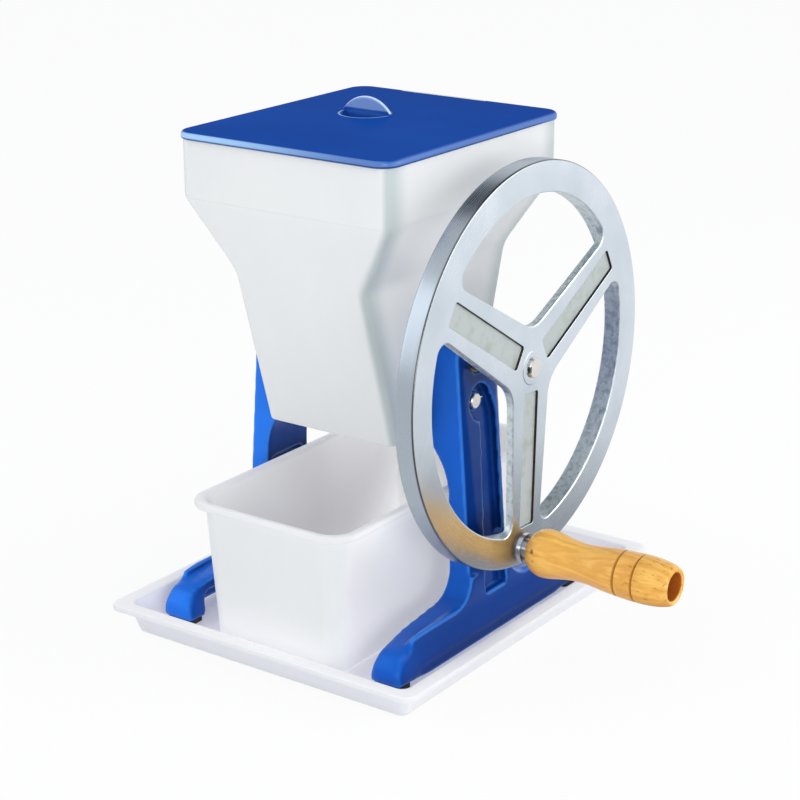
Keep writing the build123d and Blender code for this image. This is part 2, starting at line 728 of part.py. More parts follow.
def make_flywheel():
    back = WHEEL_FACE - WHEEL_T
    rim = rod_x(WHEEL_R, back, WHEEL_FACE)
    rim = chamfer(rim.edges().group_by(Axis.X)[0] + rim.edges().group_by(Axis.X)[-1], 1.0)
    wheel = rim - rod_x(WHEEL_IN, back - 1, WHEEL_FACE + 1)
    wheel += wheel_plate()
    wheel += rod_x(HUB_R, HUB_BACK, WHEEL_FACE)
    for i in range(SPOKES):
        wheel -= spoke_panel(360.0 / SPOKES * (i + 0.5))
    wheel += rod_x(11.0, WHEEL_FACE - 1, WHEEL_FACE + 0.5)
    wheel -= rod_x(SHAFT_R, HUB_BACK - 1, WHEEL_FACE + 2)
    wheel -= rod_x(STUD_R, back - 1, WHEEL_FACE + 1, 0, -CRANK_R)
    wheel = Pos(0, 0, SHAFT_Z) * (Rot(-WHEEL_TURN, 0, 0) * wheel)
    wheel -= key_box(SLIP, HUB_BACK - 1, WHEEL_FACE + 1)
    return wheel - set_screw_room()


def set_screw_room():
    """The tapped hole in the hub, on the rear side, behind the spokes."""
    return rod_y(3.0, SHAFT_R - 1, HUB_R + 2, HUB_BACK + 8.0, SHAFT_Z)


def make_wheel_set_screw():
    screw = rod_y(3.0, SHAFT_R, HUB_R - 0.5, HUB_BACK + 8.0, SHAFT_Z)
    tip = rod_x(SHAFT_R, HUB_BACK, WHEEL_FACE, 0, SHAFT_Z)
    hexagon = extrude(Plane.XZ * RegularPolygon(1.7, 6), 3.0, both=True)
    return screw - tip - Pos(HUB_BACK + 8.0, HUB_R - 0.5, SHAFT_Z) * hexagon


# ---------------------------------------------------------------- crank handle

def crank_rod(radius, x0, x1):
    """A round bar on the handle's axis."""
    return rod_x(radius, x0, x1, CRANK_Y, CRANK_Z)


def hex_nut(flat, bore, x0, x1):
    """A hexagon nut on the handle's axis with turned corners."""
    nut = extrude(RegularPolygon(flat / 2, 6, major_radius=False), x1 - x0)
    nut = Pos(x0, CRANK_Y, CRANK_Z) * (Rot(0, 90, 0) * nut)
    cone_r = flat / 2 / cos(pi / 6)
    blank = crank_rod(cone_r, x0, x1)
    blank = chamfer(blank.edges().group_by(Axis.X)[0] + blank.edges().group_by(Axis.X)[-1], 0.9)
    return (nut & blank) - crank_rod(bore, x0 - 1, x1 + 1)


def make_handle_stud():
    back = WHEEL_FACE - WHEEL_T - STUD_WASHER_T - STUD_NUT_T - 2.0
    stud = crank_rod(STUD_R, back, GRIP_SEAT + 12.0)
    stud += crank_rod(COLLAR_R, WHEEL_FACE + STUD_WASHER_T, GRIP_START - GAP)
    stud = chamfer(stud.edges().group_by(Axis.X)[0] + stud.edges().group_by(Axis.X)[-1], 0.8)
    return stud


def make_stud_washers():
    front = crank_rod(9.6, WHEEL_FACE, WHEEL_FACE + STUD_WASHER_T) - crank_rod(STUD_R, 100, 140)
    back = WHEEL_FACE - WHEEL_T
    rear = crank_rod(9.0, back - STUD_WASHER_T, back) - crank_rod(STUD_R, 90, 120)
    return Compound(children=[front, rear])


def make_stud_nut():
    back = WHEEL_FACE - WHEEL_T - STUD_WASHER_T
    return hex_nut(NUT_FLAT, STUD_R, back - STUD_NUT_T, back)


def make_handle_grip():
    """Turned profile: bulb at the wheel, waist, swell, two grooves and a rounded open end."""
    s = GRIP_START
    e = GRIP_START + GRIP_LEN
    r = GRIP_R
    shoulder = ThreePointArc((s, 0, r - 6.3), (s + 4.5, 0, r - 1.8), (s + 11.5, 0, r))
    bulb = ThreePointArc((s + 11.5, 0, r), (s + 17.5, 0, r - 0.3), (s + 24, 0, r - 1.3))
    waist = ThreePointArc((s + 24, 0, r - 1.3), (s + 37.5, 0, r - 3.2), (s + 54, 0, r - 2.0))
    swell = ThreePointArc((s + 54, 0, r - 2.0), (s + 79, 0, r), (e - 5, 0, r - 1.9))
    nose = ThreePointArc((e - 5, 0, r - 1.9), (e - 1.5, 0, r - 3.1), (e, 0, r - 4.8))
    ends = Polyline((e, 0, r - 4.8), (e, 0, 0), (s, 0, 0), (s, 0, r - 6.3))
    face = make_face(Curve() + [shoulder, bulb, waist, swell, nose, ends])
    for groove in (s + 66.5, s + 79.5):
        before, after = groove - 1, groove + 1
        notch = Polyline((before, 0, r + 0.7), (groove, 0, r - 1.4), (after, 0, r + 0.7), close=True)
        face -= make_face(notch)
    grip = revolve(face, axis=Axis.X)
    grip -= rod_x(STUD_R + RUN, s - 1, e + 1)
    grip -= rod_x(GRIP_BORE, GRIP_SEAT, e + 1)
    mouth = grip.faces().sort_by(Axis.X)[-1].inner_wires()
    if len(mouth) > 0:
        grip = chamfer(mouth[0].edges(), 0.8)
    return Pos(0, CRANK_Y, CRANK_Z) * grip


def make_grip_washer():
    start = GRIP_SEAT + GAP
    return crank_rod(8.4, start, start + STUD_WASHER_T) - crank_rod(STUD_R, 150, 230)


def make_grip_nut():
    start = GRIP_SEAT + GAP + STUD_WASHER_T
    return hex_nut(13.0, STUD_R, start, start + 7.0)


# ---------------------------------------------------------------- write every piece

right_leg = make_leg()
left_leg = mirrored(right_leg)

PIECES = {
    "tray": make_tray(),
    "bin": make_bin(),
    "hopper": make_hopper(),
    "lid": make_lid(),
    "right_leg": right_leg,
    "left_leg": left_leg,
    "foot_pads": make_foot_pads(),
    "drive_shaft": make_drive_shaft(),
    "shaft_bushes": make_shaft_bushes(),
    "shaft_clip": make_shaft_clip(),
    "wheel_spacer": make_wheel_spacer(),
    "flywheel": make_flywheel(),
    "wheel_key": make_wheel_key(),
    "wheel_set_screw": make_wheel_set_screw(),
    "rotor": make_rotor(),
    "rotor_pins": make_rotor_pins(),
    "thrust_washers": make_thrust_washers(),
    "comb": make_comb(),
    "comb_shaft": make_comb_shaft(),
    "comb_pins": make_comb_pins(),
    "comb_cotters": make_comb_cotters(),
    "front_throat_plate": make_front_throat_plate(),
    "rear_throat_plate": make_rear_throat_plate(),
    "frame_screws": all_frame(frame_screw),
    "frame_washers": all_frame(frame_washer),
    "handle_stud": make_handle_stud(),
    "stud_washers": make_stud_washers(),
    "stud_nut": make_stud_nut(),
    "handle_grip": make_handle_grip(),
    "grip_washer": make_grip_washer(),
    "grip_nut": make_grip_nut(),
}

for name, piece in PIECES.items():
    export_step(piece, "parts/" + name + ".step")
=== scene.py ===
from cmath import phase, rect
from functools import partialmethod
from math import atan2, cos, hypot, pi, radians, sin, sqrt

import bmesh
import bpy
from mathutils import Matrix, Vector, geometry, noise


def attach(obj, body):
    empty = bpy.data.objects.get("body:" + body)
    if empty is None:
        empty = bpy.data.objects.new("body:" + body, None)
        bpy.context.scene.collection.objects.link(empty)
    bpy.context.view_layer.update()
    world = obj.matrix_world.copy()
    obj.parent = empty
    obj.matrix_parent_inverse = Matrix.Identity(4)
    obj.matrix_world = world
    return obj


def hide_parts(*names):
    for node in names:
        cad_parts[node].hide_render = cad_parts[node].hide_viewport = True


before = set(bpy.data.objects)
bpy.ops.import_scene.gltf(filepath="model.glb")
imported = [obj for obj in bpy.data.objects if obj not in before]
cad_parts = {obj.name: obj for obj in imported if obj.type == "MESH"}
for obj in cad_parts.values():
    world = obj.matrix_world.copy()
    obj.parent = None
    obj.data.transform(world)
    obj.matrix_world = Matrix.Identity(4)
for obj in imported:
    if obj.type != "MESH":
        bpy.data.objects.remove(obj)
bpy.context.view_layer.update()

bl_info = {
    "name": "Hand crank ice crusher",
    "version": (1, 0, 0),
    "blender": (4, 5, 0),
    "location": "View3D > Sidebar > Ice crusher",
    "description": "Dresses the packed ice crusher with moulded, cast, turned and wooden pieces",
    "category": "Object",
}

MM = 0.001


# ---- shader language

class Value:
    """A shader socket that takes part in Python arithmetic."""

    def __init__(self, finish, socket):
        self.finish = finish
        self.socket = socket

    def math(self, operation, *others):
        inputs = {i: other for i, other in enumerate((self,) + others)}
        return self.finish.make("ShaderNodeMath", {"operation": operation}, inputs)

    __add__ = __radd__ = partialmethod(math, "ADD")
    __mul__ = __rmul__ = partialmethod(math, "MULTIPLY")
    __sub__ = partialmethod(math, "SUBTRACT")
    __pow__ = partialmethod(math, "POWER")
    __abs__ = partialmethod(math, "ABSOLUTE")
    least = partialmethod(math, "MINIMUM")
    most = partialmethod(math, "MAXIMUM")

    def __rsub__(self, other):
        return (self * -1.0) + other

    def rising(self, low, high):
        """0 below low, 1 above high, smooth between."""
        inputs = {"Value": self, "From Min": low, "From Max": high}
        return self.finish.make("ShaderNodeMapRange", {"interpolation_type": "SMOOTHSTEP"}, inputs)

    def within(self, low, high, soft):
        """1 between low and high, 0 outside."""
        return self.rising(low - soft, low + soft) * (1.0 - self.rising(high - soft, high + soft))


class Finish:
    """One procedural material, built around a single shader."""

    def __init__(self, name, **fixed):
        self.material = bpy.data.materials.new(name)
        self.material.use_nodes = True
        self.tree = self.material.node_tree
        self.tree.nodes.clear()
        self.shader = self.tree.nodes.new("ShaderNodeBsdfPrincipled")
        self.body = Value(self, self.shader.outputs[0])
        self.surface = self.tree.nodes.new("ShaderNodeOutputMaterial").inputs["Surface"]
        self.feed(self.surface, self.body)
        for key, value in fixed.items():
            self.shader.inputs[key.replace("_", " ")].default_value = value
        self.place = self.make("ShaderNodeTexCoord", None, None, "Object")

    def feed(self, target, value):
        if isinstance(value, Value):
            self.tree.links.new(value.socket, target)
        elif isinstance(value, tuple) and target.type == "RGBA":
            target.default_value = (*value, 1.0)
        else:
            target.default_value = value

    def make(self, kind, settings=None, inputs=None, output=0):
        """Adds a node, sets it up and returns one of its outputs."""
        node = self.tree.nodes.new(kind)
        for key, value in (settings or {}).items():
            setattr(node, key, value)
        for key, value in (inputs or {}).items():
            self.feed(node.inputs[key], value)
        return Value(self, node.outputs[output])

    def split(self, vector):
        """The x, y and z of a vector."""
        node = self.tree.nodes.new("ShaderNodeSeparateXYZ")
        self.tree.links.new(vector.socket, node.inputs[0])
        return [Value(self, node.outputs[i]) for i in range(3)]

    def stretched(self, scale, move=(0.0, 0.0, 0.0)):
        """The object's own coordinates, scaled along each axis."""
        return self.make("ShaderNodeMapping", None, {"Vector": self.place, "Scale": scale, "Location": move})

    def cloud(self, scale, detail=3.0, rough=0.5, place=None, distortion=0.0):
        """Soft noise from 0 to 1."""
        inputs = {"Vector": place or self.place, "Scale": scale, "Detail": detail, "Roughness": rough}
        return self.make("ShaderNodeTexNoise", None, {**inputs, "Distortion": distortion})

    def cells(self, scale):
        """Distance to the nearest of scattered points."""
        return self.make("ShaderNodeTexVoronoi", None, {"Vector": self.place, "Scale": scale})

    def mix(self, low, high, share):
        """A colour between two others."""
        return self.make("ShaderNodeMix", {"data_type": "RGBA"}, {0: share, 6: low, 7: high}, 2)

    def blend(self, low, high, share):
        """A shader between two others."""
        return self.make("ShaderNodeMixShader", None, {0: share, 1: low, 2: high})

    def ray(self, kind):
        """1 for light rays of that kind."""
        return self.make("ShaderNodeLightPath", None, None, "Is %s Ray" % kind)

    def facing(self):
        """The surface direction in the object's own axes, as x, y and z."""
        return self.split(self.make("ShaderNodeTexCoord", None, None, "Normal"))

    def openness(self, reach):
        """1 in the open, falling towards 0 deep in hollows."""
        return self.make("ShaderNodeAmbientOcclusion", {"samples": 6}, {"Distance": reach}, 1)

    def wear(self, **values):
        """Connects what varies over the surface."""
        for key, value in values.items():
            self.feed(self.shader.inputs[key.replace("_", " ")], value)

    def relief(self, height, depth, strength):
        """Bump whose full height is depth metres."""
        bump = self.make("ShaderNodeBump", None, {"Height": height, "Distance": depth, "Strength": strength})
        self.wear(Normal=bump)


class Sky(Finish):
    """The world around the object, built with the same arithmetic."""

    def __init__(self, name):
        self.world = bpy.data.worlds.new(name)
        self.world.use_nodes = True
        self.tree = self.world.node_tree
        self.tree.nodes.clear()
        self.place = self.make("ShaderNodeTexCoord", None, None, "Generated")
        self.surface = self.tree.nodes.new("ShaderNodeOutputWorld").inputs["Surface"]

    def light(self, colour, strength):
        return self.make("ShaderNodeBackground", None, {"Color": colour, "Strength": strength})


def tinted(colour, red, green, blue):
    """A colour with each channel scaled."""
    return (colour[0] * red, colour[1] * green, colour[2] * blue)


# ---- finishes

def moulded_plastic(name, colour, shade, roughness, specular, milky, corner_shade=0.0, painted_glow=0.0, outward_glow=0.0):
    """Injection-moulded plastic: flow clouds and fine grain; painted shade down the hopper's corners, along its bend
    and on outward walls, a painted glow in hollows and a painted highlight on the tray's flange.
    """
    depth = {"Subsurface_Weight": milky, "Subsurface_Scale": 0.008, "Subsurface_Radius": (1.0, 1.0, 1.0)}
    f = Finish(name, Specular_IOR_Level=specular, Emission_Strength=painted_glow, **depth)
    flow = f.cloud(14.0, 4.0, 0.5, f.stretched((1.0, 1.0, 0.45)))
    grain = f.cloud(1400.0, 2.0, 0.6)
    sink = f.cloud(22.0, 2.0, 0.4)
    nx, ny, nz = f.facing()
    x, y, z = f.split(f.place)
    half_y = ((z - HOPPER_LOW * MM) * 0.2947 + MOUTH_HALF * MM).least(BOX_HALF_Y * MM)
    # painted shade: a darker band down the hopper's vertical corners and a faint darker line along its bend, mixed in
    # below as a darker copy of the colour
    corner = abs(nx).rising(0.3, 0.8) * (1.0 - (half_y - abs(y)).rising(0.004, 0.024)) * corner_shade
    corner = corner.most(z.within(0.2921, 0.2929, 0.0004) * corner_shade * 0.16)
    outwards = nx * x + ny * y
    if painted_glow:
        # painted shade: on the bin and the tray this mask darkens the outward-facing walls instead
        corner = outwards.rising(0.05, 0.12) * 0.35
        # painted glow: emission brightens the inner walls and the hollows found by ambient occlusion, with a smaller
        # share on outward walls
        inner = 1.0 - outwards.rising(0.001, 0.012) * (1.0 - outward_glow)
        hidden = (1.0 - f.openness(0.07).rising(0.1, 0.9)) * inner
        f.wear(Emission_Color=f.mix((0.0, 0.0, 0.0), colour, hidden))
    coat = f.mix(f.mix(shade, colour, flow.rising(0.25, 0.75)), tinted(colour, 0.60, 0.67, 0.67), corner)
    # painted highlight: the upward top of the tray's flange is lightened towards white
    flange = nz.rising(0.6, 0.95) * z.within(0.0190, 0.0210, 0.0004)
    f.wear(Base_Color=f.mix(coat, (0.97, 0.97, 0.98), flange * 0.7))
    f.wear(Roughness=(grain - 0.5) * 0.08 + (flow - 0.5) * 0.1 + roughness)
    f.relief(grain * 0.05 + sink * 0.95, 0.0005, 0.5)
    return f.material


def lid_plastic(name, colour, shade):
    """Dense coloured plastic: matt on top with a glossy coat on its edges; painted highlight on the front and side
    edges and round the dish, painted shade in the dish, along the lower edges and towards the back.
    """
    f = Finish(name, Specular_IOR_Level=0.0, Coat_Roughness=0.16, Coat_IOR=1.5)
    flow = f.cloud(9.0)
    grain = f.cloud(1200.0, 2.0, 0.6)
    x, y, z = f.split(f.place)
    nx, ny, nz = f.facing()
    edge = 1.0 - abs(nz).rising(0.75, 0.97)
    front = (ny * -1.0).rising(0.3, 0.8) * (1.0 - x.rising(-0.07, 0.070) * 0.75)
    side = nx.rising(0.5, 0.9) * 0.22
    away = ((x - GRIP_X * MM) ** 2.0 + (y - DISH_Y * MM) ** 2.0) ** 0.5
    # painted highlight: a thin line round the front of the dish
    ring = away.within(0.0172, 0.0184, 0.0004) * (1.0 - y.rising(0.008, 0.012)) * z.rising(0.333, 0.335)
    hollow = (1.0 - away.rising(0.0160, 0.0172)) * z.rising(0.326, 0.329)
    # flow clouds vary the tone at random; painted shade makes the top darker towards the back
    top = f.mix(shade, colour, flow.rising(0.2, 0.8) * (1.0 - y.rising(0.0, 0.09) * 0.8))
    # painted shade inside the dish
    top = f.mix(top, tinted(shade, 1.0, 0.8, 0.8), hollow)
    # painted shade: a dark line along the lower part of the lid's edges, except at the back
    low = edge * (1.0 - z.rising(0.3306, 0.3314)) * (1.0 - y.rising(0.06, 0.09))
    # painted highlight: pale blue on the front and right-hand edges, fading towards the right, and on the line round
    # the dish
    top = f.mix(top, (0.34, 0.57, 0.88), (edge * front.most(side)).most(ring * 0.85))
    f.wear(Base_Color=f.mix(top, (0.004, 0.025, 0.14), low * 0.85))
    f.wear(Roughness=(grain - 0.5) * 0.1 + 0.4, Coat_Weight=0.5 - nz.rising(0.86, 0.99) * 0.47)
    f.relief(grain * 0.1 + flow * 0.9, 0.0005, 0.4)
    return f.material


def fin_plastic(name, colour, pale):
    """The polished fin: a painted reflection makes its face pale above the lid and a painted highlight whitens its
    curved edge.
    """
    f = Finish(name, Specular_IOR_Level=0.4, Specular_Tint=(0.4, 0.65, 1.0, 1.0))
    z = f.split(f.place)[2]
    ny, nz = f.facing()[1:]
    flow = f.cloud(30.0)
    grain = f.cloud(1200.0, 2.0, 0.6)
    # painted reflection: the fin's face above the lid is paler
    face = z.rising(0.3378, 0.3392) * (ny * -1.0).rising(0.5, 0.9) * (0.8 + flow * 0.2)
    # painted highlight: white along the curved edge
    arc = nz.rising(0.25, 0.6)
    f.wear(Base_Color=f.mix(f.mix(colour, pale, face), (0.62, 0.78, 0.95), arc))
    f.wear(Roughness=(grain - 0.5) * 0.1 + 0.25)
    f.relief(flow, 0.0004, 0.4)
    return f.material


def cast_enamel(name, colour, dark, roughness, specular):
    """Gloss enamel on a casting: orange peel and a few dust specks; painted light on faces turned to the front and
    up, painted shade on the outer sides and in hollows, and painted highlights along the crests.
    """
    f = Finish(name, Specular_IOR_Level=specular, Specular_Tint=(0.10, 0.50, 1.0, 1.0))
    peel = f.cloud(320.0, 2.0, 0.5)
    flow = f.cloud(30.0)
    lumps = f.cloud(70.0, 2.0, 0.5)
    specks = 1.0 - f.cells(260.0).rising(0.03, 0.06)
    nx, ny, nz = f.facing()
    x, y, z = f.split(f.place)
    # painted light: faces turned to the front and up are lighter, less so on the right-hand leg
    lit = (ny * -1.0).rising(0.1, 0.9).most(nz.rising(0.5, 1.0) * 0.6) * (1.0 - x.rising(0.0, 0.05) * 0.7)
    # painted shade: the outer sides of the legs are darker, less so towards the front
    outer = abs(nx).rising(0.8, 0.97) * (1.0 - (y * -1.0).rising(0.06, 0.115) * 0.6)
    coat = f.mix(f.mix(dark, colour, flow.rising(0.2, 0.8)), (0.003, 0.032, 0.20), outer * 0.75)
    coat = f.mix(coat, tinted(colour, 2.8, 2.5, 1.9), lit * 0.85)
    # painted shade in the hollows found by ambient occlusion, fading out near the floor
    hollow = (1.0 - f.openness(0.028).rising(0.42, 0.95)) * z.rising(0.014, 0.05)
    coat = f.mix(coat, (0.002, 0.010, 0.075), hollow)
    # painted highlight: pale blue along sharp crests
    crest = f.make("ShaderNodeNewGeometry", None, None, "Pointiness").rising(0.508, 0.535)
    coat = f.mix(coat, (0.06, 0.27, 0.82), crest * 0.5)
    f.wear(Base_Color=f.mix(coat, (0.05, 0.16, 0.5), specks * 0.3))
    f.wear(Roughness=(flow - 0.5) * 0.12 + (peel - 0.5) * 0.06 + roughness)
    f.relief(peel * 0.12 + lumps * 0.88, 0.0006, 0.6)
    return f.material


def bright_metal(name, colour, dark, roughness, axis_stretch):
    """Turned or drawn bright metal with fine lines across its axis."""
    f = Finish(name, Metallic=1.0)
    lines = f.cloud(1.0, 3.0, 0.6, f.stretched(axis_stretch))
    stain = f.cloud(60.0)
    f.wear(Base_Color=f.mix(dark, colour, stain.rising(0.2, 0.7)))
    f.wear(Roughness=(lines - 0.5) * 0.18 + (stain - 0.5) * 0.12 + roughness)
    f.relief(lines, 0.00004, 0.6)
    return f.material


def matt_rubber(name, colour):
    """Dull rubber with a little dust."""
    f = Finish(name, Specular_IOR_Level=0.3)
    grain = f.cloud(900.0, 3.0, 0.6)
    dust = f.cloud(50.0)
    f.wear(Base_Color=f.mix(colour, (0.12, 0.12, 0.12), dust.rising(0.5, 0.8) * 0.5))
    f.wear(Roughness=(dust - 0.5) * 0.2 + 0.75)
    f.relief(grain, 0.0001, 0.7)
    return f.material


def wheel_plating(name, bright, dark, panel):
    """Zinc plate on cast iron: turned faces, rough cast walls and painted floors in the spoke panels; painted shade
    on the rim's outer wall, the recess walls and the front bevel.
    """
    f = Finish(name)
    x, y, z = f.split(f.place)
    up = z - SHAFT_Z * MM
    radius = (y * y + up * up) ** 0.5
    nx, ny = f.facing()[:2]
    front = abs(nx).rising(0.55, 0.85)
    outer_wall = radius.rising(0.1285, 0.1292)
    turned = front.most(outer_wall)
    cast = 1.0 - turned
    painted = x.within(0.1190, 0.1212, 0.0003) * nx.rising(0.6, 0.9) * (1.0 - radius.rising(0.1075, 0.1085))
    painted = painted * radius.rising(0.0135, 0.0145)
    rings = f.cloud(1.0, 2.0, 0.6, f.make("ShaderNodeCombineXYZ", None, {"X": radius * 2600.0, "Y": x * 2600.0}))
    cloud = f.cloud(26.0)
    pits = f.cells(420.0).rising(0.1, 0.5)
    lumps = f.cloud(260.0, 4.0, 0.62)
    metal = f.mix(dark, bright, cloud.rising(0.1, 0.8))
    iron = f.mix(tinted(dark, 0.72, 0.74, 0.70), tinted(bright, 1.0, 1.02, 0.97), lumps.rising(0.3, 0.6))
    metal = f.mix(metal, iron, cast * 0.85)
    # painted dark reflection on the rim's outer wall
    metal = f.mix(metal, tinted(dark, 0.55, 0.57, 0.6), outer_wall * (1.0 - front) * 0.8)
    spokes = 0.0
    for turn in (60.0, 180.0, 300.0):
        c, s = cos(radians(WHEEL_TURN + turn)), sin(radians(WHEEL_TURN + turn))
        across, along = y * c - up * s, y * s + up * c
        spokes = (1.0 - abs(across).rising(0.0084, 0.0087)) * along.rising(0.0150, 0.0158) + spokes
    recess_wall = spokes * (1.0 - radius.rising(0.1062, 0.1068)) * cast * x.rising(0.1198, 0.1204)
    bevel = radius.rising(0.1288, 0.1291) * x.rising(0.1211, 0.1214) * (1.0 - nx.rising(0.92, 0.98))
    # painted shade: near black on the spoke recess walls that face -y and on the rim's front bevel
    metal = f.mix(metal, (0.05, 0.04, 0.03), (recess_wall * (ny * -1.0).rising(-0.2, 0.5)).most(bevel * 0.7))
    grime = f.cloud(90.0, 3.0, 0.6)
    cream = f.mix(panel, tinted(panel, 0.8, 0.8, 0.72), grime.rising(0.45, 0.75))
    f.wear(Base_Color=f.mix(metal, cream, painted), Metallic=1.0 - painted)
    smooth = (rings - 0.5) * 0.10 + (cloud - 0.5) * 0.10 + 0.26
    rough = (lumps - 0.5) * 0.3 + 0.42
    f.wear(Roughness=smooth * turned + rough * cast + painted * 0.25)
    f.relief(rings * turned * 0.03 + (pits * 0.4 + lumps) * cast * 0.6 + cloud * 0.2, 0.0006, 0.55)
    return f.material


def varnished_wood(name, light, mid, dark):
    """Honey-coloured wood along X: growth rings, fine pores, flecks and two knots near the wheel; painted shade on
    the underside and inside the bore.
    """
    f = Finish(name, Coat_Roughness=0.12, Coat_IOR=1.5, Specular_IOR_Level=0.2)
    grain_place = f.stretched((9.0, 62.0, 62.0), (0.0, 0.4, 0.2))
    wander = f.cloud(1.0, 4.0, 0.55, grain_place, distortion=0.8)
    rings = (wander * 34.0).math("SINE") * 0.5 + 0.5
    streak = f.cloud(1.0, 5.0, 0.7, f.stretched((55.0, 900.0, 900.0)))
    x, y, z = f.split(f.place)
    fleck = f.cloud(1.0, 2.0, 0.5, f.stretched((260.0, 700.0, 700.0), (3.0, 1.0, 2.0))).rising(0.60, 0.72)
    fleck = fleck * (x.rising(0.18, 0.212) * 0.8 + 0.2)
    blotch = f.cloud(38.0, 3.0, 0.6).rising(0.35, 0.7)
    colour = f.mix(mid, light, rings * 0.7 + blotch * 0.3)
    colour = f.mix(colour, mid, streak.rising(0.45, 0.8) * 0.6)
    colour = f.mix(colour, dark, fleck * 0.6)
    groove = x.within(0.1932, 0.1948, 0.0004) + x.within(0.2064, 0.2080, 0.0004)
    knots = f.cloud(150.0, 2.0, 0.5).rising(0.66, 0.74) * (1.0 - x.rising(0.135, 0.142))
    across, up = y - CRANK_Y * MM, z - CRANK_Z * MM
    hole = 1.0 - ((across * across + up * up) ** 0.5).rising(0.0090, 0.0096)
    # painted shade: the underside of the grip is darker
    below = f.facing()[2] * -1.0
    colour = f.mix(colour, tinted(mid, 0.8, 0.66, 0.55), below.rising(-0.1, 0.9) * 0.6)
    # painted shade inside the bore; the two grooves are darker
    colour = f.mix(f.mix(colour, dark, groove * 0.7), (0.42, 0.105, 0.010), hole * 0.95)
    colour = f.mix(colour, tinted(dark, 0.35, 0.3, 0.25), knots * 0.85)
    f.wear(Base_Color=colour, Roughness=(streak - 0.5) * 0.25 + 0.42, Coat_Weight=0.35 - fleck * 0.2)
    f.relief(streak * 0.5 + rings * 0.3 - fleck * 0.4, 0.00025, 0.8)
    return f.material


# ---- mesh language

def rounded_rectangle(half_x, half_y, radius, z, steps=10, middle=(0.0, 0.0)):
    """Points of a level outline with rounded corners, anticlockwise, always the same number of them."""
    points = []
    for corner, (side_x, side_y) in enumerate(((1, 1), (-1, 1), (-1, -1), (1, -1))):
        for i in range(steps + 1):
            angle = (corner + i / steps) * pi / 2
            x = side_x * (half_x - radius) + radius * cos(angle)
            y = side_y * (half_y - radius) + radius * sin(angle)
            points.append((middle[0] + x, middle[1] + y, z))
    return points


def stacked(half_x, half_y, profile, steps=10, middle=(0.0, 0.0)):
    """Level rings, each by its inset, its height and its corner radius."""
    return [rounded_rectangle(half_x - inset, half_y - inset, r, z, steps, middle) for inset, z, r in profile]


def skin(mesh, rings, closed=False, capped=False):
    """Joins rings of points, each with the same count, and returns the rows of vertices."""
    rows = [[mesh.verts.new(point) for point in ring] for ring in rings]
    pairs = list(zip(rows, rows[1:]))
    if closed:
        pairs.append((rows[-1], rows[0]))
    for low, high in pairs:
        for i in range(len(low)):
            j = (i + 1) % len(low)
            mesh.faces.new((low[i], low[j], high[j], high[i]))
    if capped:
        mesh.faces.new(rows[0])
        mesh.faces.new(rows[-1])
    return rows


def hang(name, data):
    """Puts data into the scene as an object."""
    made = bpy.data.objects.new(name, data)
    bpy.context.scene.collection.objects.link(made)
    return made


def meshed(name, mesh):
    """Puts a bmesh into the scene as an object."""
    data = bpy.data.meshes.new(name)
    mesh.to_mesh(data)
    mesh.free()
    return hang(name, data)


def evaluated(made):
    """The mesh of an object after its modifiers."""
    bpy.context.view_layer.update()
    shown = made.evaluated_get(bpy.context.evaluated_depsgraph_get())
    return bpy.data.meshes.new_from_object(shown)


def modify(made, kind, **values):
    """Adds a modifier to an object and sets it up."""
    modifier = made.modifiers.new(kind.lower(), kind)
    for key, value in values.items():
        setattr(modifier, key, value)
    return modifier


def piece(name, mesh, material, body, stands_for=(), sharp=38.0, even=True):
    """Turns a bmesh in millimetres into a shown piece that rides on a body."""
    bmesh.ops.remove_doubles(mesh, verts=mesh.verts, dist=0.0005)
    bmesh.ops.recalc_face_normals(mesh, faces=mesh.faces)
    bmesh.ops.scale(mesh, vec=(MM, MM, MM), verts=mesh.verts)
    made = meshed(name, mesh)
    data = made.data
    data.materials.append(material)
    data.polygons.foreach_set("use_smooth", [True] * len(data.polygons))
    data.set_sharp_from_angle(angle=radians(sharp))
    if even:
        modify(made, "WEIGHTED_NORMAL", keep_sharp=True)
    if stands_for:
        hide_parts(*stands_for)
    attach(made, body)
    return made


def dress(nodes, material):
    """Gives frame nodes a better material and leaves their shape alone."""
    for name in nodes:
        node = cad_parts[name]
        for slot in node.material_slots:
            slot.material = material
        if not node.material_slots:
            raise RuntimeError("no material slot on " + name)


def cut(made, mesh):
    """Cuts a bmesh out of a piece."""
    cutter = meshed("cutter", mesh)
    modifier = modify(made, "BOOLEAN", object=cutter, operation="DIFFERENCE", solver="EXACT")
    made.modifiers.move(len(made.modifiers) - 1, 0)
    kept = [other for other in made.modifiers if other != modifier]
    for other in kept:
        other.show_viewport = False
    result = evaluated(made)
    for other in kept:
        other.show_viewport = True
    made.modifiers.remove(modifier)
    made.data = result
    bpy.data.objects.remove(cutter)


def cut_box(made, lows, highs):
    """Cuts a box, given in millimetres."""
    mesh = bmesh.new()
    bmesh.ops.create_cube(mesh, size=1.0)
    for vert in mesh.verts:
        for axis in range(3):
            vert.co[axis] = (lows[axis] if vert.co[axis] < 0 else highs[axis]) * MM
    cut(made, mesh)


def cut_round(made, radius, start, end, across="X", steps=48):
    """Cuts a round hole, given in millimetres by the two ends of its axis."""
    start, end = Vector(start) * MM, Vector(end) * MM
    turn = Matrix.Rotation(pi / 2, 4, "Y" if across == "X" else "X")
    shape = {"segments": steps, "radius1": radius * MM, "radius2": radius * MM, "depth": (end - start).length}
    mesh = bmesh.new()
    bmesh.ops.create_cone(mesh, cap_ends=True, matrix=Matrix.Translation((start + end) / 2) @ turn, **shape)
    cut(made, mesh)


# ---- sizes and colours

def length(name, words, value):
    return bpy.props.FloatProperty(name=name, description=words, default=value, unit="LENGTH", precision=4)


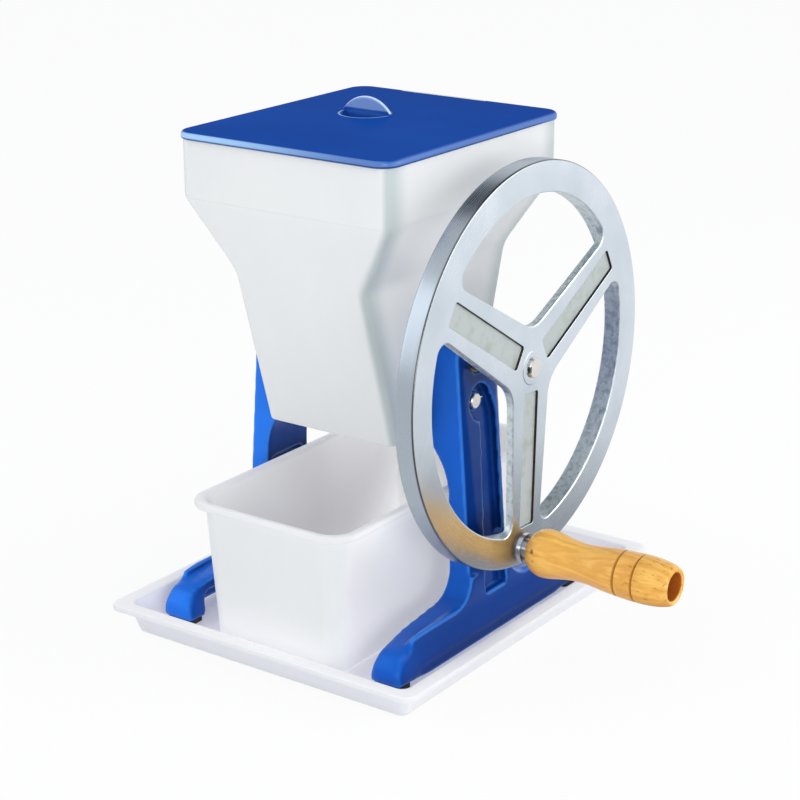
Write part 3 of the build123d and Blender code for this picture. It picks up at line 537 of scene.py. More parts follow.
def colour(name, words, value):
    values = {"name": name, "description": words, "default": value}
    return bpy.props.FloatVectorProperty(subtype="COLOR", size=3, min=0, max=1, **values)


class CrusherColours(bpy.types.PropertyGroup):
    hopper: colour("Hopper", "White plastic of the hopper", (0.76, 0.77, 0.77))
    bin: colour("Bin", "White plastic of the bin", (0.83, 0.825, 0.825))
    tray: colour("Tray", "White plastic of the tray", (0.825, 0.82, 0.85))
    lid: colour("Lid", "Blue plastic of the lid", (0.007, 0.075, 0.40))
    legs: colour("Legs", "Blue enamel of the legs", (0.009, 0.085, 0.48))
    plating: colour("Wheel plating", "Bright plate of the flywheel", (0.66, 0.72, 0.78))
    panels: colour("Spoke panels", "Paint on the floors of the spoke recesses", (0.385, 0.425, 0.42))
    wood: colour("Grip", "Varnished wood of the grip", (0.92, 0.54, 0.125))


class CrusherShells(bpy.types.PropertyGroup):
    wall: length("Hopper wall", "Thickness of the hopper", 0.003)
    lid_skirt: length("Lid skirt", "Depth of the lid's edge below the hopper's rim", 0.0022)
    lid_crown: length("Lid crown", "Rise of the lid's middle over its sides", 0.0016)
    bin_lip: length("Bin lip", "Width of the bin's rolled rim", 0.006)
    tray_lip: length("Tray lip", "Width of the tray's flange", 0.011)


class CrusherWheel(bpy.types.PropertyGroup):
    bevel: length("Wheel bevel", "Rounding of the wheel's front edges", 0.0011)
    panel_depth: length("Panel depth", "Depth of the recess in each spoke", 0.0019)
    casting: length("Casting roughness", "Height of the lumps on the rough cast walls", 0.00022)
    grip_groove: length("Grip groove", "Depth of the grooves round the grip", 0.0012)


def settings():
    scene = bpy.context.scene
    return scene.crusher_colours, scene.crusher_shells, scene.crusher_wheel


# ---- plastic shells

HOPPER_LOW = 138.4
HOPPER_BEND = 292.5
HOPPER_TOP = 332.0
NECK_TOP = 241.0
NECK_HALF = 51.0
MOUTH_HALF = 50.0
BOX_HALF_X = 79.7
BOX_HALF_Y = 95.4
SHAFT_Z = 192.5
COMB_Z = 162.2
SHAFT_HOLE = 9.02
COMB_HOLE = 5.4
# heights of the hopper's rings, close together where it bends
HOPPER_HEIGHTS = [HOPPER_LOW + 1.2, 150.0, 165.0, 180.0, 195.0, 210.0, 225.0, 235.0]
HOPPER_HEIGHTS += [238.0 + 1.5 * i for i in range(12)] + [262.0, 270.0, 278.0, 285.0]
HOPPER_HEIGHTS += [288.5 + 0.8 * i for i in range(10)] + [304.0, 314.0, 324.0, HOPPER_TOP - 1.0]


def hopper_half_x(z):
    """Half width of the hopper: chute, short curve, straight shoulder, upper box."""
    ease = 0.2
    t = max(0.0, min(1.0, (z - NECK_TOP) / (HOPPER_BEND - NECK_TOP)))
    rate = 1.0 / (1.0 - ease / 2)
    reach = rate * t * t / (2 * ease) if t < ease else rate * (t - ease / 2)
    return NECK_HALF + (BOX_HALF_X - NECK_HALF) * reach


def hopper_half_y(z):
    slope = (BOX_HALF_Y - MOUTH_HALF) / (HOPPER_BEND - HOPPER_LOW)
    return min(BOX_HALF_Y, MOUTH_HALF + slope * (z - HOPPER_LOW))


def softened(profile, z, reach):
    """The mean of a profile over a short height, which rounds its bends."""
    steps = 9
    return sum(profile(z + reach * (2 * i / (steps - 1) - 1)) for i in range(steps)) / steps


def hopper_ring(z, inset):
    half_x = softened(hopper_half_x, z, 3.0) - inset
    half_y = softened(hopper_half_y, z, 2.2) - inset
    return rounded_rectangle(half_x, half_y, 7.0 - inset, z)


class CRUSHER_OT_hopper(bpy.types.Operator):
    """Builds the moulded hopper with its rear tab"""

    bl_idname = "crusher.hopper"
    bl_label = "Hopper"

    def execute(self, context):
        colours, shells, _ = settings()
        wall = shells.wall / MM
        # looks: colour, flow tone, roughness, specular, milkiness and the strength of the painted shade down the
        # corners
        looks = (tuple(colours.hopper), (0.73, 0.745, 0.745), 0.34, 0.35, 0.15, 0.9)
        white = moulded_plastic("hopper plastic", *looks)
        rings = [(HOPPER_LOW, 1.0), (HOPPER_LOW + 0.35, 0.3)] + [(z, 0.0) for z in HOPPER_HEIGHTS]
        rings += [(HOPPER_TOP - 0.3, 0.25), (HOPPER_TOP, 0.9), (HOPPER_TOP, wall - 0.9), (HOPPER_TOP - 0.9, wall)]
        rings += [(z, wall) for z in reversed(HOPPER_HEIGHTS)] + [(HOPPER_LOW, wall - 0.5)]
        mesh = bmesh.new()
        skin(mesh, [hopper_ring(z, inset) for z, inset in rings], closed=True)
        hopper = piece("hopper_shell", mesh, white, "frame", ("hopper",))
        for side in (-1, 1):
            for radius, z in ((SHAFT_HOLE, SHAFT_Z), (COMB_HOLE, COMB_Z)):
                cut_round(hopper, radius, (side * 40, 0.0, z), (side * 60, 0.0, z))
        mesh = bmesh.new()
        tab = ((0.0, 328.5, 0.1), (0.0, 334.3, 0.1), (0.25, 334.8, 0.1), (0.7, 335.05, 0.1))
        skin(mesh, stacked(33.2, 0.8, tab, 3, (-11.0, 94.6)), capped=True)
        piece("hopper_rear_tab", mesh, white, "frame")
        return {"FINISHED"}


class CRUSHER_OT_bin(bpy.types.Operator):
    """Builds the ice bin with its rolled rim"""

    bl_idname = "crusher.bin"
    bl_label = "Bin"

    def execute(self, context):
        colours, shells, _ = settings()
        lip = shells.bin_lip / MM
        # looks: colour, flow tone, roughness, specular, milkiness, corner shade, painted glow and its share on
        # outward walls
        looks = (tuple(colours.bin), (0.81, 0.80, 0.81), 0.36, 0.3, 0.5, 0.0, 0.6, 0.42)
        white = moulded_plastic("bin plastic", *looks)
        top, low, wall, draft = 101.8, 2.5, 2.5, 6.0
        foot, tall, deep = lip + draft, top - low - 10.0, top - low - wall - 6.0
        profile = [(foot + 4.0, low, 8.0), (foot + 1.9, low + 0.3, 10.0), (foot + 0.6, low + 1.5, 11.4)]
        profile += [(foot - draft * i / 8, low + 4.0 + tall * i / 8, 12.0 + 4.0 * i / 8) for i in range(9)]
        profile += [(lip - 0.4, top - 3.4, 16.3), (lip - 1.6, top - 2.6, 17.0), (1.6, top - 2.9, 18.5)]
        profile += [(0.9, top - 4.2, 18.6), (0.35, top - 4.5, 18.8), (0.0, top - 3.9, 19.0), (0.0, top - 2.0, 19.0)]
        profile += [(0.5, top - 0.8, 18.7), (1.6, top - 0.15, 18.0), (2.6, top, 17.4), (lip - 1.0, top - 0.2, 15.6)]
        profile += [(lip + 0.7, top - 1.0, 14.4), (lip + 2.0, top - 2.8, 13.7)]
        inner = lip + wall
        profile += [(inner + draft * i / 8, top - 2.8 - deep * i / 8, 13.5 - 3.5 * i / 8) for i in range(1, 9)]
        profile += [(foot + wall + 0.9, low + wall + 1.0, 9.4), (foot + wall + 3.2, low + wall, 7.5)]
        mesh = bmesh.new()
        skin(mesh, stacked(63.5, 121.5, profile, 12, (0.0, -1.5)), capped=True)
        piece("bin_shell", mesh, white, "bin", ("bin",))
        return {"FINISHED"}


class CRUSHER_OT_tray(bpy.types.Operator):
    """Builds the drip tray with its turned-down flange"""

    bl_idname = "crusher.tray"
    bl_label = "Tray"

    def execute(self, context):
        colours, shells, _ = settings()
        lip = shells.tray_lip / MM
        # looks: colour, flow tone, roughness, specular, milkiness, corner shade and painted glow
        looks = (tuple(colours.tray), (0.82, 0.81, 0.85), 0.3, 0.4, 0.3, 0.0, 0.26)
        white = moulded_plastic("tray plastic", *looks)
        foot = lip + 2.3
        profile = [(foot + 1.6, 0.0, 3.4), (foot + 0.5, 0.3, 4.4), (foot + 0.1, 1.2, 4.8)]
        profile += [(foot - 4.6 * i / 4, 1.2 + 16.2 * i / 4, 4.8 + 0.4 * i) for i in range(1, 5)]
        profile += [(foot - 5.2, 18.2, 6.6), (2.2, 18.4, 7.4), (1.5, 18.0, 7.6), (1.2, 17.3, 7.8), (0.8, 17.0, 8.0)]
        profile += [(0.2, 17.2, 8.2), (0.0, 17.8, 8.4), (0.05, 19.4, 8.4), (0.5, 20.3, 8.2), (1.3, 20.6, 7.8)]
        profile += [(4.0, 20.6, 7.2), (lip - 1.6, 20.5, 6.8), (lip - 0.4, 20.1, 6.6), (lip + 0.4, 18.9, 6.4)]
        profile += [(lip + 1.0, 16.5, 6.2)]
        profile += [(lip + 1.5 + 1.6 * i / 3, 16.5 - 11.0 * i / 3, 6.1 - 0.2 * i) for i in range(1, 4)]
        profile += [(foot + 2.1, 3.4, 5.0), (foot + 3.4, 2.55, 4.5), (foot + 5.4, 2.5, 4.0)]
        mesh = bmesh.new()
        skin(mesh, stacked(122.0, 147.5, profile, 10, (4.6, 7.5)), capped=True)
        piece("tray_shell", mesh, white, "frame", ("tray",))
        return {"FINISHED"}


# ---- lid

LID_HALF_X = 82.4
LID_HALF_Y = 98.1
LID_CORNER = 13.0
LID_TOP = 334.6
DISH_RADIUS = 17.2
DISH_DEPTH = 5.4
DISH_Y = 11.0
GRIP_X = -13.0
GRIP_Y = 12.0


def lid_reach(angle, inset):
    """Distance from the grip to the lid's outline, drawn in by inset, in one direction."""
    half_x = LID_HALF_X - inset
    half_y = LID_HALF_Y - inset
    corner = LID_CORNER - min(inset, 6.0)
    low, high = 10.0, 200.0
    for _ in range(34):
        reach = (low + high) / 2
        x = abs(GRIP_X + reach * cos(angle)) - (half_x - corner)
        y = abs(GRIP_Y + reach * sin(angle)) - (half_y - corner)
        out = hypot(max(x, 0), max(y, 0)) + min(max(x, y), 0) - corner
        low, high = (reach, high) if out < 0 else (low, reach)
    return low


def lid_rise(x, y, crown):
    """Height of the lid's crown over its bevel."""
    across = max(0.0, 1.0 - (x / (LID_HALF_X - 1.8)) ** 2)
    along = max(0.0, 1.0 - (y / (LID_HALF_Y - 1.8)) ** 4)
    return LID_TOP + crown * across * along


def lid_angles():
    """Directions from the grip, packed closer towards the lid's corners."""
    corners = []
    for side_x, side_y in ((1, 1), (-1, 1), (-1, -1), (1, -1)):
        x, y = side_x * (LID_HALF_X - 5), side_y * (LID_HALF_Y - 5)
        corners.append(atan2(y - GRIP_Y, x - GRIP_X) % (2 * pi))
    corners.sort()
    angles = []
    count = 76
    for i, start in enumerate(corners):
        end = corners[(i + 1) % 4] + (2 * pi if i == 3 else 0)
        for k in range(count):
            t = k / count
            angles.append(start + (end - start) * (t - 0.85 * sin(2 * pi * t) / (2 * pi)))
    return angles


def lid_ring(angles, inset, z):
    ring = []
    for angle in angles:
        reach = lid_reach(angle, inset)
        ring.append((GRIP_X + reach * cos(angle), GRIP_Y + reach * sin(angle), z))
    return ring


class CRUSHER_OT_lid(bpy.types.Operator):
    """Builds the crowned lid, its scooped dish and the fin that lifts it"""

    bl_idname = "crusher.lid"
    bl_label = "Lid"

    def execute(self, context):
        colours, shells, _ = settings()
        crown = shells.lid_crown / MM
        skirt = HOPPER_TOP - shells.lid_skirt / MM
        blue = lid_plastic("lid plastic", tuple(colours.lid), (0.006, 0.058, 0.33))
        angles = lid_angles()
        edge = ((2.2, skirt), (0.7, skirt), (0.15, skirt + 0.4), (0.0, skirt + 1.0), (0.0, LID_TOP - 2.0))
        edge += ((0.25, LID_TOP - 1.2), (0.9, LID_TOP - 0.45), (1.7, LID_TOP - 0.08))
        rings = [lid_ring(angles, inset, z) for inset, z in edge]
        rim = lid_ring(angles, 2.6, LID_TOP)
        flare = 2.2
        wide = DISH_RADIUS + flare
        for i in range(15):
            t = i / 14
            ring = []
            for angle, (x, y, _) in zip(angles, rim):
                px = x + (GRIP_X + wide * cos(angle) - x) * t
                py = y + (DISH_Y + wide * sin(angle) - y) * t
                ring.append((px, py, lid_rise(px, py, crown)))
            rings.append(ring)
        for i in range(1, 17):
            radius = wide * (1 - i / 16.5)
            drop = DISH_DEPTH * max(0.0, 1 - (radius / DISH_RADIUS) ** 2)
            drop *= min(1.0, max(0.0, (wide - radius) / (2 * flare)))
            ring = []
            for angle in angles:
                px, py = GRIP_X + radius * cos(angle), DISH_Y + radius * sin(angle)
                ring.append((px, py, lid_rise(px, py, crown) - drop))
            rings.append(ring)
        mesh = bmesh.new()
        rows = skin(mesh, rings)
        mesh.faces.new(rows[-1])
        under = [mesh.verts.new(point) for point in lid_ring(angles, 2.2, HOPPER_TOP)]
        for i in range(len(angles)):
            j = (i + 1) % len(angles)
            mesh.faces.new((rows[0][j], rows[0][i], under[i], under[j]))
        mesh.faces.new(under)
        lid = piece("lid_shell", mesh, blue, "lid", ("lid",), 50.0)
        cut_box(lid, (-45.0, 93.6, 320.0), (23.0, 104.0, 345.0))
        # pale blue of the painted reflection on the fin's face
        self.fin(fin_plastic("fin plastic", tuple(colours.lid), (0.25, 0.39, 0.74)), crown)
        return {"FINISHED"}

    def fin(self, polished, crown):
        """The half-moon fin: thin at its curved edge, thicker at its foot, hollowed a little in front."""
        half, rise = 19.0, 10.5
        top = LID_TOP + crown
        radius = (half ** 2 + rise ** 2) / (2 * rise)
        low = top - 5.0
        stations, steps = 40, 16
        rings = []
        for i in range(stations + 1):
            x = half * (2.0 * i / stations - 1.0) * 0.998
            height = sqrt(max(radius ** 2 - x ** 2, 0.0)) - (radius - rise)
            tip = top + max(height, 0.05)
            ring = []
            for k in range(steps + 1):
                t = 2.0 * k / steps - 1.0
                lift = 1.0 - abs(t) ** 3.2
                hollow = 0.55 * sin(pi * min(1.0, lift * 1.15)) if t < 0 else 0.0
                width = (1.25 + 1.1 * (1 - lift) - hollow) * min(1.0, abs(t) * 2.4)
                ring.append((GRIP_X + x, GRIP_Y + (-width if t < 0 else width), low + (tip - low) * lift))
            rings.append(ring)
        mesh = bmesh.new()
        skin(mesh, rings, capped=True)
        piece("lid_fin", mesh, polished, "lid", (), 50.0)


# ---- legs

# the lip between the feet: half length, heights of its edges, thickness
LIP_HALF, LIP_LOW, LIP_HIGH, LIP_THICK = 92.0, 5.0, 34.0, 4.5
# in metres: top of the part of the feet that is worn round, and where that part starts along y
ANKLE, INSTEP = 0.058, 0.070
WEAR_PASSES = 60


class CRUSHER_OT_legs(bpy.types.Operator):
    """Casts both legs: the frame's shape with the softened edges of enamelled castings"""

    bl_idname = "crusher.legs"
    bl_label = "Legs"

    def execute(self, context):
        colours = settings()[0]
        blue = cast_enamel("leg enamel", tuple(colours.legs), (0.006, 0.062, 0.36), 0.18, 0.24)
        self.cast("right_leg", 1, blue)
        self.cast("left_leg", -1, blue)
        return {"FINISHED"}

    def cast(self, node, side, blue):
        mesh = bmesh.new()
        mesh.from_mesh(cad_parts[node].data)
        self.skirt(mesh, side)
        raw = meshed("raw", mesh)
        modify(raw, "REMESH", mode="VOXEL", voxel_size=0.0011)
        modify(raw, "SMOOTH", factor=0.5, iterations=7)
        mesh = bmesh.new()
        mesh.from_mesh(evaluated(raw))
        bpy.data.objects.remove(raw)
        feet = [vert for vert in mesh.verts if vert.co.z < ANKLE and abs(vert.co.y) > INSTEP]
        cast = [vert.co.copy() for vert in feet]
        axes = {"use_axis_x": True, "use_axis_y": True, "use_axis_z": True}
        for _ in range(WEAR_PASSES):
            bmesh.ops.smooth_vert(mesh, verts=feet, factor=0.5, **axes)
        for vert, before in zip(feet, cast):
            worn = min(1.0, max(0.0, (abs(before.y) - INSTEP - 0.006) / 0.020)) * min(1.0, (ANKLE - before.z) / 0.014)
            vert.co = before.lerp(vert.co, worn)
        bmesh.ops.scale(mesh, vec=(1 / MM, 1 / MM, 1 / MM), verts=mesh.verts)
        piece(node + "_casting", mesh, blue, "frame", (node,), 80.0, False)

    def skirt(self, mesh, side):
        """A thin lip along the outer lower edge, between the feet."""
        corners = []
        for y in (-LIP_HALF, LIP_HALF):
            for z in (LIP_LOW, LIP_HIGH):
                face = 89.5 - 0.083 * (z - 100.0)
                corners += [(side * x * MM, y * MM, z * MM) for x in (face - LIP_THICK, face)]
        bmesh.ops.convex_hull(mesh, input=[mesh.verts.new(corner) for corner in corners])


# ---- flywheel

WHEEL_R = 130.0
WHEEL_IN = 110.3
WHEEL_FRONT = 122.3
WHEEL_BACK = 109.4
PLATE_BACK = 117.3
WHEEL_TURN = 2.0
BORE_R = 6.55
HUB_R = 15.0
HUB_BACK = 100.0
KEY_LOW, KEY_FAR, KEY_HALF = 3.0, 8.65, 2.15
SCREW_X, SCREW_R = 108.0, 3.02
SPOKE_HUB = 20.6
SPOKE_RIM = 16.3
GAP_R = 109.7
GAP_CORNER = 8.0
GAP_FOOT = 22.0


def arc(centre, radius, start, end, spacing):
    """Points round part of a circle. Outlines are lists of complex numbers, u + v j, with v up."""
    count = max(2, int(abs(end - start) * radius / spacing))
    return [centre + rect(radius, start + (end - start) * i / count) for i in range(count + 1)]


def run(start, end, spacing):
    """Points between two ends, without the ends."""
    count = max(2, int(abs(end - start) / spacing))
    return [start + (end - start) * i / count for i in range(1, count)]


def gap_outline():
    """The opening between two spokes, pointing up, anticlockwise."""
    half = radians(60.0)
    reach = WHEEL_R + 20
    off = SPOKE_HUB + (SPOKE_RIM - SPOKE_HUB) * (reach - 20.0) / 88.0
    foot = complex(0.0, SPOKE_HUB / sin(half) * 1.013)
    far = complex(reach * sin(half) - off * cos(half), reach * cos(half) + off * sin(half))
    ahead = (far - foot) / abs(far - foot)
    square = ahead * 1j
    a = foot + GAP_CORNER * square
    along = (a * ahead.conjugate()).real
    corner = a + (sqrt(along ** 2 - abs(a) ** 2 + (GAP_R - GAP_CORNER) ** 2) - along) * ahead
    bottom = complex(0.0, foot.imag + GAP_FOOT / ahead.real)
    low, high = phase(-square), phase(corner)
    right = run(bottom - GAP_FOOT * square, corner - GAP_CORNER * square, 1.6)
    right += arc(corner, GAP_CORNER, low, high, 0.9)
    top = arc(0.0, GAP_R, high, pi - high, 1.6)[1:-1]
    left = [-point.conjugate() for point in reversed(right)]
    return right + top + left + arc(bottom, GAP_FOOT, -pi - low, low, 1.3)


def panel_outline():
    """The recess of the spoke that points up."""
    return [complex(u, v) for u, v, _ in rounded_rectangle(8.0, 44.5, 2.0, 0.0, 5, (0.0, 61.0))]


def circle(radius, count):
    """An outline round the shaft."""
    return [rect(radius, 2 * pi * i / count) for i in range(count)]


def grown(outline, reach):
    """An anticlockwise outline moved outwards along its normals."""
    ahead = outline[1:] + outline[:1]
    lines = [after - outline[i - 1] for i, after in enumerate(ahead)]
    return [point - 1j * reach * line / (abs(line) or 1.0) for point, line in zip(outline, lines)]


def on_wheel(outline, turn, x):
    """Turns an outline to an angle from straight up and stands it at x, about the shaft."""
    turned = [point * rect(1.0, -radians(turn)) for point in outline]
    return [(x, point.real, SHAFT_Z + point.imag) for point in turned]


def rough(points, height, seed):
    """Moves points about as the skin of a sand casting does."""
    moved = []
    for x, y, z in points:
        place = Vector((x * 0.42, y * 0.42, z * 0.42 + seed))
        lump = noise.noise(place) + 0.5 * noise.noise(place * 2.3)
        away = Vector((0.0, y, z - SHAFT_Z)).normalized()
        moved.append((x, y + away.y * lump * height, z + away.z * lump * height))
    return moved


def level_fill(mesh, loops):
    """Fills the flat region, square to the shaft, inside the first loop and outside the others."""
    verts, edges, owner = [], [], []
    shapes = []
    for number, loop in enumerate(loops):
        start = len(verts)
        verts += loop
        owner += [number] * len(loop)
        edges += [(start + i, start + (i + 1) % len(loop)) for i in range(len(loop))]
        shapes.append([Vector((vert.co.y, vert.co.z)) for vert in loop])
    flat = sum(shapes, [])
    _, _, triangles, origins = geometry.delaunay_2d_cdt(flat, edges, [], 1, 1e-5)[:4]
    for triangle in triangles:
        corners = [origins[corner][0] for corner in triangle]
        loop = owner[corners[0]]
        if loop > 0 and all(owner[corner] == loop for corner in corners):
            middle = sum((flat[corner] for corner in corners), Vector((0.0, 0.0))) / 3
            if inside(middle, shapes[loop]):
                continue
        mesh.faces.new([verts[corner] for corner in corners])


def inside(point, shape):
    """True if the point lies in the outline."""
    within = False
    for a, b in zip(shape, shape[1:] + shape[:1]):
        if (a.y > point.y) != (b.y > point.y):
            if point.x < a.x + (b.x - a.x) * (point.y - a.y) / (b.y - a.y):
                within = not within
    return within


class CRUSHER_OT_flywheel(bpy.types.Operator):
    """Builds the cast flywheel: turned faces, rounded openings, recessed spokes and rough walls"""

    bl_idname = "crusher.flywheel"
    bl_label = "Flywheel"

    def execute(self, context):
        colours, _, wheel = settings()
        w = wheel.bevel / MM
        lump = wheel.casting / MM
        deep = wheel.panel_depth / MM
        plate = wheel_plating("wheel plating", tuple(colours.plating), (0.55, 0.62, 0.69), tuple(colours.panels))
        mesh = bmesh.new()
        quarter = [radians(90.0 * i / 4) for i in range(5)]
        outline, recess = gap_outline(), panel_outline()
        steps = ((0.35, 0.0), (0.1, 0.12), (0.0, 0.4), (-0.15, deep - 0.5), (-0.5, deep - 0.12), (-0.9, deep))
        depth = WHEEL_FRONT - w - PLATE_BACK - 0.5
        front, back = [], []
        for i in range(3):
            turn = WHEEL_TURN + 120.0 * i
            edge = [(w * (1 - sin(a)), w * (1 - cos(a))) for a in quarter]
            rings = [on_wheel(grown(outline, out), turn, WHEEL_FRONT - down) for out, down in edge]
            for k in range(1, 5):
                ring = on_wheel(outline, turn, WHEEL_FRONT - w - depth * k / 4)
                rings.append(rough(ring, lump, 9.0 * i))
            rings.append(on_wheel(outline, turn, PLATE_BACK))
            rows = skin(mesh, rings)
            front.append(rows[0])
            back.append(rows[-1])
            rings = [on_wheel(grown(recess, out), turn + 60.0, WHEEL_FRONT - down) for out, down in steps]
            rows = skin(mesh, rings)
            front.append(rows[0])
            level_fill(mesh, [rows[-1]])

        def hoops(*places, count=96, turn=WHEEL_TURN):
            return [on_wheel(circle(radius, count), turn, x) for radius, x in places]

        boss = ((11.4, 0.0), (11.1, 0.12), (11.0, 0.35), (10.6, 0.5), (BORE_R, 0.5))
        rings = hoops(*((radius, WHEEL_FRONT + up) for radius, up in boss))
        rings += hoops((BORE_R, 110.0), (BORE_R, HUB_BACK + 0.4), (BORE_R + 0.35, HUB_BACK))
        rings += hoops((HUB_R - 1.2, HUB_BACK), (HUB_R - 0.3, HUB_BACK + 0.4), (HUB_R, HUB_BACK + 1.2))
        rings += [rough(ring, lump, 40.0) for ring in hoops((HUB_R, 103.0), (HUB_R, 113.0))]
        rings += hoops((15.1, 116.0), (15.6, 117.0), (16.4, PLATE_BACK))
        rows = skin(mesh, rings)
        front.append(rows[0])
        back.append(rows[-1])
        inner = WHEEL_BACK + 0.9
        tall = PLATE_BACK - WHEEL_BACK - 1.9
        places = [(WHEEL_R - 1 + sin(a), WHEEL_FRONT - 1 + cos(a)) for a in quarter]
        places += [(WHEEL_R, WHEEL_FRONT - 1 - 10.9 * k / 5) for k in range(1, 6)]
        places += [(WHEEL_R - 1 + cos(a), WHEEL_BACK + 1 - sin(a)) for a in quarter[1:]]
        places += [(120.0, WHEEL_BACK)]
        places += [(WHEEL_IN + 0.9 - 0.9 * sin(a), inner - 0.9 * cos(a)) for a in quarter]
        rings = hoops(*places, count=360, turn=0)
        walls = hoops(*((WHEEL_IN, inner + tall * k / 5) for k in range(1, 6)), count=360, turn=0)
        rings += [rough(ring, lump, 70.0) for ring in walls]
        rows = skin(mesh, rings + hoops((WHEEL_IN, PLATE_BACK), count=360, turn=0))
        level_fill(mesh, [rows[0]] + front)
        level_fill(mesh, [rows[-1]] + back)
        made = piece("flywheel_casting", mesh, plate, "wheel", ("flywheel",), 45.0)
        key_end = WHEEL_FRONT - 0.4
        cut_box(made, (99.0, -KEY_FAR, SHAFT_Z - KEY_HALF), (key_end, -KEY_LOW, SHAFT_Z + KEY_HALF))
        cut_round(made, SCREW_R, (SCREW_X, 9.0, SHAFT_Z), (SCREW_X, 17.0, SHAFT_Z), "Y", 30)
        return {"FINISHED"}


# ---- grip

GRIP_START = 127.6
GRIP_END = 230.6
GRIP_SEAT = 192.6
GRIP_BORE = 9.0
STUD_BORE = 5.06
CRANK_Y = -4.198
CRANK_Z = 72.273


def through(points, x):
    """Height of a smooth curve through points at x."""
    last = len(points) - 1
    i = next((i for i in range(last) if x <= points[i + 1][0]), last - 1)
    before, a, b, after = (points[min(max(i + k, 0), last)] for k in (-1, 0, 1, 2))
    step = b[0] - a[0]
    t = (x - a[0]) / step
    slope_a = (b[1] - before[1]) / (b[0] - before[0]) * step
    slope_b = (after[1] - a[1]) / (after[0] - a[0]) * step
    t2, t3 = t * t, t * t * t
    rise = (2 * t3 - 3 * t2 + 1) * a[1] + (t3 - 2 * t2 + t) * slope_a
    return rise + (-2 * t3 + 3 * t2) * b[1] + (t3 - t2) * slope_b


class CRUSHER_OT_grip(bpy.types.Operator):
    """Turns the wooden grip with its two grooves and open end"""

    bl_idname = "crusher.grip"
    bl_label = "Grip"

    def execute(self, context):
        colours, _, wheel = settings()
        wood = varnished_wood("varnished wood", tuple(colours.wood), (0.74, 0.35, 0.06), (0.36, 0.125, 0.016))
        groove = wheel.grip_groove / MM
        shape = [(0.0, 9.6), (1.2, 11.3), (3.4, 13.3), (6.5, 15.0), (11.0, 15.8), (17.0, 15.3), (24.0, 14.0)]
        shape += [(31.0, 12.9), (38.0, 12.5), (46.0, 12.9), (55.0, 14.0), (69.5, 15.2), (83.0, 15.5), (92.0, 14.9)]
        shape += [(98.5, 13.7), (101.8, 12.5), (103.0, 11.5)]
        outline = []
        for i in range(207):
            x = i / 2
            radius = through(shape, x)
            for place in (66.5, 79.5):
                radius -= groove * max(0.0, 1.0 - abs(x - place) / 0.95)
            outline.append((GRIP_START + x, radius))
        outline += [(GRIP_END - 0.15, 10.3), (GRIP_END - 0.9, 9.3)]
        outline += [(x, GRIP_BORE) for x in (GRIP_END - 2.4, 215.0, 203.0, GRIP_SEAT + 0.3)]
        outline += [(GRIP_SEAT, GRIP_BORE - 0.3)] + [(x, STUD_BORE) for x in (GRIP_SEAT, 160.0, GRIP_START)]
        angles = [2 * pi * k / 112 for k in range(112)]
        rings = []
        for x, radius in outline:
            ring = []
            for angle in angles:
                lump = noise.noise(Vector((x * 0.03, 1.4 * cos(angle), 1.4 * sin(angle)))) if radius > 9.5 else 0.0
                reach = radius + 0.10 * lump - 0.1
                ring.append((x, CRANK_Y + reach * cos(angle), CRANK_Z + reach * sin(angle)))
            rings.append(ring)
        mesh = bmesh.new()
        skin(mesh, rings, closed=True)
        piece("grip_wood", mesh, wood, "grip", ("handle_grip",), 30.0)
        return {"FINISHED"}


# ---- metalwork

SHAFTS = "drive_shaft comb_shaft"
PINS = "wheel_spacer wheel_key rotor_pins comb_pins handle_stud"
SCREWS = "shaft_clip wheel_set_screw comb_cotters frame_screws frame_washers"
NUTS = "stud_washers stud_nut grip_washer grip_nut"
RINGS = "shaft_bushes thrust_washers"
PLATES = "front_throat_plate rear_throat_plate"
# name, colour, darker colour, roughness, scale of the fine lines, nodes
METALS = (
    ("bright steel", (0.84, 0.82, 0.78), (0.68, 0.66, 0.62), 0.3, (2400.0, 90.0, 90.0), SHAFTS),
    ("turned steel", (0.62, 0.63, 0.65), (0.40, 0.41, 0.43), 0.3, (2400.0, 90.0, 90.0), PINS),
    ("bright zinc", (0.72, 0.75, 0.78), (0.50, 0.53, 0.57), 0.22, (1400.0, 200.0, 200.0), SCREWS + " " + NUTS),
    ("oiled bronze", (0.20, 0.15, 0.11), (0.09, 0.07, 0.06), 0.4, (1800.0, 160.0, 160.0), RINGS),
    ("polished stainless", (0.66, 0.66, 0.67), (0.44, 0.44, 0.45), 0.3, (150.0, 700.0, 700.0), "rotor comb"),
    ("brushed sheet", (0.68, 0.69, 0.70), (0.50, 0.51, 0.52), 0.34, (1600.0, 60.0, 60.0), PLATES),
)


class CRUSHER_OT_metalwork(bpy.types.Operator):
    """Finishes the shafts, bushes, pins, screws, nuts, washers, crushing mechanism and rubber pads"""

    bl_idname = "crusher.metalwork"
    bl_label = "Shafts, fasteners and mechanism"

    def execute(self, context):
        for *looks, nodes in METALS:
            dress(nodes.split(), bright_metal(*looks))
        dress(["foot_pads"], matt_rubber("pad rubber", (0.03, 0.03, 0.032)))
        return {"FINISHED"}


# ---- stage

# name, place, what it points at, width, height, power
LAMPS = (
    ("key", (-1.2, -1.2, 1.0), (0.0, 0.0, 0.18), 1.1, 1.3, 5.0),
    ("side", (1.5, 0.9, 0.6), (0.1, 0.0, 0.2), 1.1, 1.1, 10.0),
    ("low", (1.15, -1.0, 0.35), (0.0, 0.0, 0.1), 0.9, 0.5, 6.0),
)
CAMERA_PLACE = (0.7723, -1.0536, 0.5912)
CAMERA_LENS = 93.64
CAMERA_TURN, CAMERA_TILT, CAMERA_ROLL = 35.50, 18.78, -0.120


